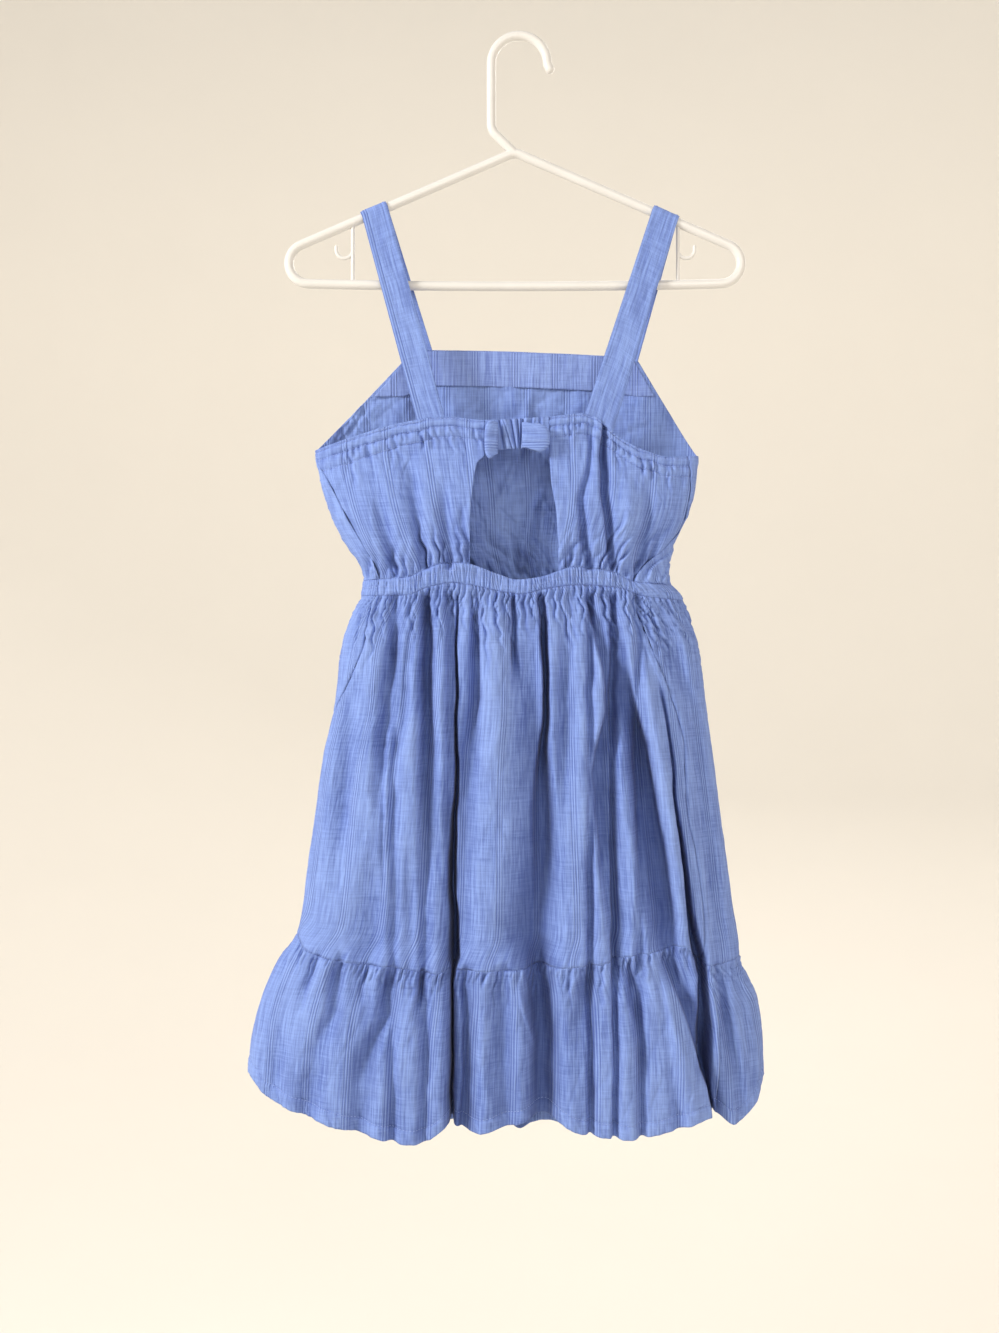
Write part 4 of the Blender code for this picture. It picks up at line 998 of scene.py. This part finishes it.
def band_relief(points, edge, seed):
    """Moves a narrow double-cloth band in and out: fat edges, a stitched groove by each and soft puckers."""
    normals = cloth_normals(points)
    along = np.linalg.norm(np.diff(points[:, 0], axis=0), axis=-1).cumsum()
    along = np.concatenate(([0], along))[:, None] + 0 * edge
    from_edge = np.minimum(edge, edge.max() - edge)
    height = 0.30 * bell(from_edge - 0.6, 0.7) - 0.38 * bell(from_edge - 2.6, 0.6)
    puckers = 0.22 * noise(seed + 1, along + 0.5 * edge, edge, 2.6, 6)
    height += 0.30 * noise(seed, along, edge, 6, 9) + puckers
    return points + normals * height[..., None], along, height


ARC_ROWS, NEAR_ROWS, FAR_ROWS = 16, 90, 60


def make_straps():
    """Each strap runs up from the back, over the hanger's shoulder bar and down to the neckline."""
    for number, (node, places) in enumerate(STRAPS.items()):
        around = TUBE_RADIUS + 0.4 + DOUBLE_CLOTH / 2
        outward = -1 if places["bar_x"] < HANGER_MIDDLE else 1
        axis = np.array((math.cos(SHOULDER_SLOPE), 0, -outward * math.sin(SHOULDER_SLOPE)))
        up = np.array((outward * math.sin(SHOULDER_SLOPE), 0, math.cos(SHOULDER_SLOPE)))
        bar = np.array((places["bar_x"], 0, -shoulder_drop(places["bar_x"])))
        sides = np.linspace(-STRAP_WIDTH / 2, STRAP_WIDTH / 2, 29)
        near_end = form_points(places["near_x"] + sides, BACK_TOP, False)
        far_end = form_points(places["far_x"] + sides, NECK, True)

        def arc_row(turn):
            away = np.array((0, -math.cos(turn), 0)) + up * math.sin(turn)
            return bar + axis * sides[:, None] + away * around

        arc = [arc_row(math.pi * k / ARC_ROWS) for k in range(ARC_ROWS + 1)]
        rows = [near_end + (arc[0] - near_end) * k / NEAR_ROWS for k in range(NEAR_ROWS)]
        rows += arc
        rows += [arc[-1] + (far_end - arc[-1]) * k / FAR_ROWS for k in range(1, FAR_ROWS + 1)]
        points = np.array(rows)
        edge = np.tile(sides + STRAP_WIDTH / 2, (len(points), 1))
        points, along, height = band_relief(points, edge, 301 + 10 * number)
        cloth = np.stack((edge + 5.5 * number, along), axis=-1)
        sewn = Sewn(points, cloth, height, along, along.max() - along)
        piece = place(shell(f"{node}_cloth", sewn, OUTSIDE, DOUBLE_CLOTH), node)
        SEWN[node] = sewn


def make_bridge():
    def bottom(angle):
        return BACK_TOP(angle) + BRIDGE_DEPTH

    edges = keyhole_edge("left"), keyhole_edge("right"), BACK_TOP, bottom
    sewn = panel(*edges, (350, 376), 40, 100, bridge_relief)
    piece = place(shell("bow_bridge_cloth", sewn, OUTSIDE, LOOP_CLOTH), "bow_bridge")


def make_bow_loops():
    """Each loop runs out from its root, round its tip and back in front; v runs down it."""
    v = np.linspace(0, 1, 31)[None, :]
    u = np.linspace(0, 1, 71)[:, None]
    span = 2 * v - 1
    turn = math.pi * u
    along = np.maximum(np.sin(turn), 0) ** 0.6
    seam = 0.5 * bell(span + 0.12, 0.09) * ramp(u, 0.5, 0.9)
    for number, (node, loop) in enumerate(BOW_LOOPS.items()):
        root_drop = np.array([362.0])
        back_y = float(ring(near_angle(loop.root_x, root_drop), root_drop)[1][0]) - 2.9
        middle = loop.root_drop + (loop.tip_drop - loop.root_drop) * along
        half = loop.root_half + (loop.tip_half - loop.root_half) * along
        gathered = 1.1 * np.sin(span * 7.5 + 2.0 * u + number) * (1 - along)
        gathered = gathered + 0.5 * noise(321 + number, u * 26, v * 26, 9, 6)
        x = loop.root_x + (loop.tip_x - loop.root_x) * along * (1 - 0.36 * np.abs(span) ** 4)
        y = back_y - loop.opening / 2 * (1 - np.cos(turn)) * (0.35 + 0.65 * along) * (1 - 0.12 * span**4)
        y = y + (seam + gathered * 0.6) * ramp(u, 0.4, 0.6)
        drop = middle + half * span + loop.droop * along * np.sin(span * 1.6) + 0 * x
        points = np.stack(np.broadcast_arrays(x, y, -drop), axis=-1)
        steps = np.linalg.norm(np.diff(points, axis=0), axis=-1)
        length = np.pad(np.cumsum(steps, axis=0), ((1, 0), (0, 0)))
        cloth = np.stack((drop, length), axis=-1)
        sewn = Sewn(points, cloth, 0.6 - gathered, length, length.max() - length)
        piece = place(shell(f"{node}_cloth", sewn, OUTSIDE, LOOP_CLOTH), node)


# ---------------------------------------------------------------- hanger
DOME = (0.35, 0.75, 1.15, 1.45, 1.56)  # angles of the rings of an open end's dome


def tube(centre, radius, sides, closed=False):
    """Vertices and faces of a round tube along points of the hanger's plane; open ends are domed."""
    centre = np.array([(x, 0.0, -drop) for x, drop in centre])
    radii = np.full(len(centre), radius)
    if closed:
        along = np.roll(centre, -1, axis=0) - np.roll(centre, 1, axis=0)
    else:
        along = np.gradient(centre, axis=0)
        out, shrunk = radius * np.sin(DOME)[:, None], radius * np.cos(DOME)
        ways = [way / np.linalg.norm(way) for way in (-along[0], along[-1])]
        first, last = centre[0] + ways[0] * out[::-1], centre[-1] + ways[1] * out
        centre = np.concatenate((first, centre, last))
        radii = np.concatenate((shrunk[::-1], radii, shrunk))
        along = np.pad(along, ((len(DOME), len(DOME)), (0, 0)), mode="edge")
    along = along / np.linalg.norm(along, axis=1, keepdims=True)
    across = np.stack((-along[:, 2], 0 * along[:, 0], along[:, 0]), axis=-1)
    turns = 2 * np.pi * np.arange(sides) / sides
    rings = centre[:, None] + radii[:, None, None] * (
        across[:, None] * np.cos(turns)[:, None] + np.array((0, 1, 0)) * np.sin(turns)[:, None]
    )
    index = np.arange(len(centre) * sides).reshape(len(centre), sides)
    after = np.roll(index, -1, axis=0)
    return rings.reshape(-1, 3), round_faces(index, after) if closed else round_faces(index[:-1], after[:-1])


def fillet(corner, before, after, radius, steps):
    """Points of an arc that rounds a corner of a path."""
    corner, before, after = (np.array(p, float) for p in (corner, before, after))
    a = (before - corner) / np.linalg.norm(before - corner)
    b = (after - corner) / np.linalg.norm(after - corner)
    half = math.acos(float(np.clip(a @ b, -1, 1))) / 2
    bisector = (a + b) / np.linalg.norm(a + b)
    centre = corner + bisector * radius / math.sin(half)
    start = corner + a * radius / math.tan(half) - centre
    end = corner + b * radius / math.tan(half) - centre
    sweep = math.pi - 2 * half
    shares = np.linspace(0, 1, steps + 1)
    arc = [math.sin((1 - t) * sweep) * start + math.sin(t * sweep) * end for t in shares]
    return [centre + point / math.sin(sweep) for point in arc]


def between(start, end, steps):
    """Points on a straight stretch, without its ends."""
    start, end = np.array(start, float), np.array(end, float)
    return [start + (end - start) * k / steps for k in range(1, steps)]


def hanger_loop():
    """Centre line of the closed loop: two shoulders, rounded ends and a slightly sagging bar."""
    sag, half_width = 2.5, 210.0
    corner_half = (BAR_DROP - HANGER_APEX_DROP) / math.tan(SHOULDER_SLOPE)
    end_radius = (corner_half - half_width + TUBE_RADIUS) / (1 / math.tan(SHOULDER_SLOPE / 2) - 1)
    apex = (HANGER_MIDDLE, HANGER_APEX_DROP)
    left, right = ((HANGER_MIDDLE + side * corner_half, BAR_DROP) for side in (-1, 1))
    points = fillet(apex, left, right, 14.0, 12)
    right_end = fillet(right, apex, left, end_radius, 20)
    points += between(points[-1], right_end[0], 30) + right_end
    flat = half_width - end_radius
    shares = np.linspace(1, -1, 42)[1:-1]
    points += [np.array((HANGER_MIDDLE + flat * t, BAR_DROP + sag * (1 - t**2))) for t in shares]
    left_end = fillet(left, right, apex, end_radius, 20)
    return points + left_end + between(left_end[-1], points[0], 30)


def hook_path():
    """Centre line of the hook, from inside the apex up the shank and over to the tip."""
    radius = 25.5
    centre_drop = radius - TUBE_RADIUS
    apex, shank_top = (HANGER_MIDDLE, HANGER_APEX_DROP + 1), (-radius, centre_drop)
    bend = fillet((-radius, 82.0), apex, shank_top, 14.0, 12)
    path = [np.array(apex, float)] + between(apex, bend[0], 6) + bend + between(bend[-1], shank_top, 14)
    turns = np.linspace(math.pi, 0, 45)
    path += [np.array((radius * math.cos(t), centre_drop - radius * math.sin(t))) for t in turns]
    return path + [np.array((radius + 2.2, centre_drop + 5))]


def strap_hook_path(strut_x, outward):
    """A small J from the strut outwards and up to its tip."""
    radius, drop = 7.5, 191.0
    turns = np.linspace(0, math.pi, 19)
    path = [(strut_x + outward * radius * (1 - math.cos(t)), drop + radius * math.sin(t)) for t in turns]
    return path + [(path[-1][0], drop - 3)]


def make_hanger():
    tubes = [tube(hanger_loop(), TUBE_RADIUS, 28, closed=True), tube(hook_path(), TUBE_RADIUS * 0.98, 28)]
    for offset in STRUTS:
        x = HANGER_MIDDLE + offset
        top, foot = (x, shoulder_drop(x)), (x, BAR_DROP)
        tubes.append(tube([top] + between(top, foot, 10) + [foot], STRUT_RADIUS, 16))
        tubes.append(tube(strap_hook_path(x, math.copysign(1, offset)), 1.7, 16))
    place(mesh_object("hanger_plastic", *joined(tubes), PLASTIC), "hanger", "white_plastic")


# ---------------------------------------------------------------- stitches
STITCH_LENGTH = 2.3
STITCH_GAP = 0.9
STITCH_RADIUS = 0.26
STITCH_SIDES = 6


def stitches_along(line, outward):
    """Small tapered stitches along a line of points on the cloth."""
    reached = np.concatenate(([0], np.cumsum(np.linalg.norm(np.diff(line, axis=0), axis=-1))))
    count = int(reached[-1] / (STITCH_LENGTH + STITCH_GAP))
    starts = (np.arange(count) + 0.5) * (reached[-1] / count) - STITCH_LENGTH / 2
    shares = np.array((0.0, 0.12, 0.5, 0.88, 1.0))
    sizes = STITCH_RADIUS * np.array((0.15, 0.8, 1.0, 0.8, 0.15))
    sinks = STITCH_RADIUS * np.array((-1.1, 0.1, 0.6, 0.1, -1.1))
    where = starts[:, None] + shares * STITCH_LENGTH
    points, normals = (
        np.stack([np.interp(where, reached, values[:, k]) for k in range(3)], axis=-1)
        for values in (line, outward)
    )
    normals /= np.linalg.norm(normals, axis=-1, keepdims=True) + 1e-9
    across = np.cross(normals, points[:, -1:] - points[:, :1])
    across /= np.linalg.norm(across, axis=-1, keepdims=True) + 1e-9
    centre = points + normals * sinks[:, None]
    turns = 2 * np.pi * np.arange(STITCH_SIDES) / STITCH_SIDES
    rings = centre[:, :, None] + sizes[:, None, None] * (
        across[:, :, None] * np.cos(turns)[:, None] + normals[:, :, None] * np.sin(turns)[:, None]
    )
    index = np.arange(rings[..., 0].size).reshape(rings.shape[:3])
    return rings.reshape(-1, 3), round_faces(index[:, :-1], index[:, 1:])


# seams with a row of stitches: panel, distance from its top or from its bottom edge
STITCHED = (
    ("ruffle_back", HEM, False), ("ruffle_front", HEM, False),
    *((f"bodice_{side}", away, True) for side in ("left", "right") for away in (1.8, CHANNEL, CASING)),
    ("front", FACING_DEPTH, True), ("waistband_back", 7.0, True), ("waistband_front", 7.0, True),
)


def make_stitches():
    rows = []
    for name, distance, from_top in STITCHED:
        sewn = SEWN[name]
        away = sewn.below - distance if from_top else distance - sewn.above
        row = int(np.abs(away).mean(axis=1).argmin())
        rows.append(stitches_along(sewn.line(distance, from_top), cloth_normals(sewn.points)[row]))
    for name in STRAPS:
        normals = cloth_normals(SEWN[name].points)
        for column in (3, 25):
            line = SEWN[name].points[:, column] + normals[:, column] * DOUBLE_CLOTH / 2
            rows.append(stitches_along(line, normals[:, column]))
    stitches = mesh_object("stitches", *joined(rows), THREAD)
    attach(stitches, "root")


def make_stage():
    """A round pale floor that curves up into a wall all round, open at the top."""
    centre_z, radius, bend, height, sides = -1.6, 3.6, 2.2, 3.9, 96
    flat = radius - bend
    section = [(flat * k / 8, 0.0) for k in range(1, 9)]
    arc = np.linspace(0, math.pi / 2, 13)[1:]
    section += [(flat + bend * math.sin(t), bend * (1 - math.cos(t))) for t in arc]
    section.append((radius, height))
    vertices = [(0, 0, centre_z)]
    for r, z in section:
        turns = (2 * math.pi * k / sides for k in range(sides))
        vertices += [(r * math.cos(t), r * math.sin(t), centre_z + z) for t in turns]
    faces = [(0, 1 + k, 1 + (k + 1) % sides) for k in range(sides)]
    for i in range(len(section) - 1):
        for k in range(sides):
            a, b = 1 + i * sides + k, 1 + i * sides + (k + 1) % sides
            faces.append((a, a + sides, b + sides, b))
    mesh = bpy.data.meshes.new("stage")
    mesh.from_pydata(vertices, [], faces)
    mesh.shade_smooth()
    mesh.materials.append(wall_material())
    stage = bpy.data.objects.new("stage", mesh)
    bpy.context.scene.collection.objects.link(stage)


DRESS_MIDDLE = (0, 0, -0.6)
LIGHTS = {  # place, target, width, power and colour
    "key": ((-2.1, -1.05, 0.5), DRESS_MIDDLE, 0.7, 66, (1.0, 0.97, 0.94)),
    "front": ((0.5, -2.3, 0.1), DRESS_MIDDLE, 1.6, 17, (1.0, 0.97, 0.95)),
    "fill": ((1.9, -1.0, -0.2), DRESS_MIDDLE, 1.6, 7, (1.0, 0.82, 0.70)),
    "behind": ((0.6, 1.9, 0.6), DRESS_MIDDLE, 1.5, 22, (1.0, 0.96, 0.92)),
    "wall": ((0, 0.9, 1.1), (0, 3.6, 0.5), 1.5, 16, (1.0, 0.98, 0.95)),
}


def make_lights():
    for name, (where, target, width, power, colour) in LIGHTS.items():
        light = bpy.data.lights.new(name, "AREA")
        light.shape = "DISK"
        light.size = width
        light.energy = power
        light.color = colour
        lamp = bpy.data.objects.new(name, light)
        lamp.location = where
        direction = Vector(target) - Vector(where)
        lamp.rotation_euler = direction.to_track_quat("-Z", "Y").to_euler()
        bpy.context.scene.collection.objects.link(lamp)
    world = bpy.data.worlds.new("studio")
    bpy.context.scene.world = world
    world.use_nodes = True
    background = world.node_tree.nodes["Background"]
    background.inputs["Color"].default_value = (1.0, 0.97, 0.94, 1)
    background.inputs["Strength"].default_value = 0.5


def make_camera():
    """Level, before the dress's back and 1.2 m away."""
    bpy.context.scene.view_settings.view_transform = "Standard"
    camera = bpy.data.cameras.new("camera")
    camera.lens = 35.6
    camera.sensor_width = 36
    seen = bpy.data.objects.new("camera", camera)
    seen.location = (-0.018, -1.2, -0.570)
    seen.rotation_euler = (math.pi / 2, 0, 0)
    bpy.context.scene.collection.objects.link(seen)
    bpy.context.scene.camera = seen


make_camera()
make_lights()
make_stage()
make_skirt()
make_ruffle()
make_waistband()
make_back_bodice()
make_front_bodice()
make_facing()
make_straps()
make_bridge()
make_bow_loops()
make_hanger()
make_stitches()
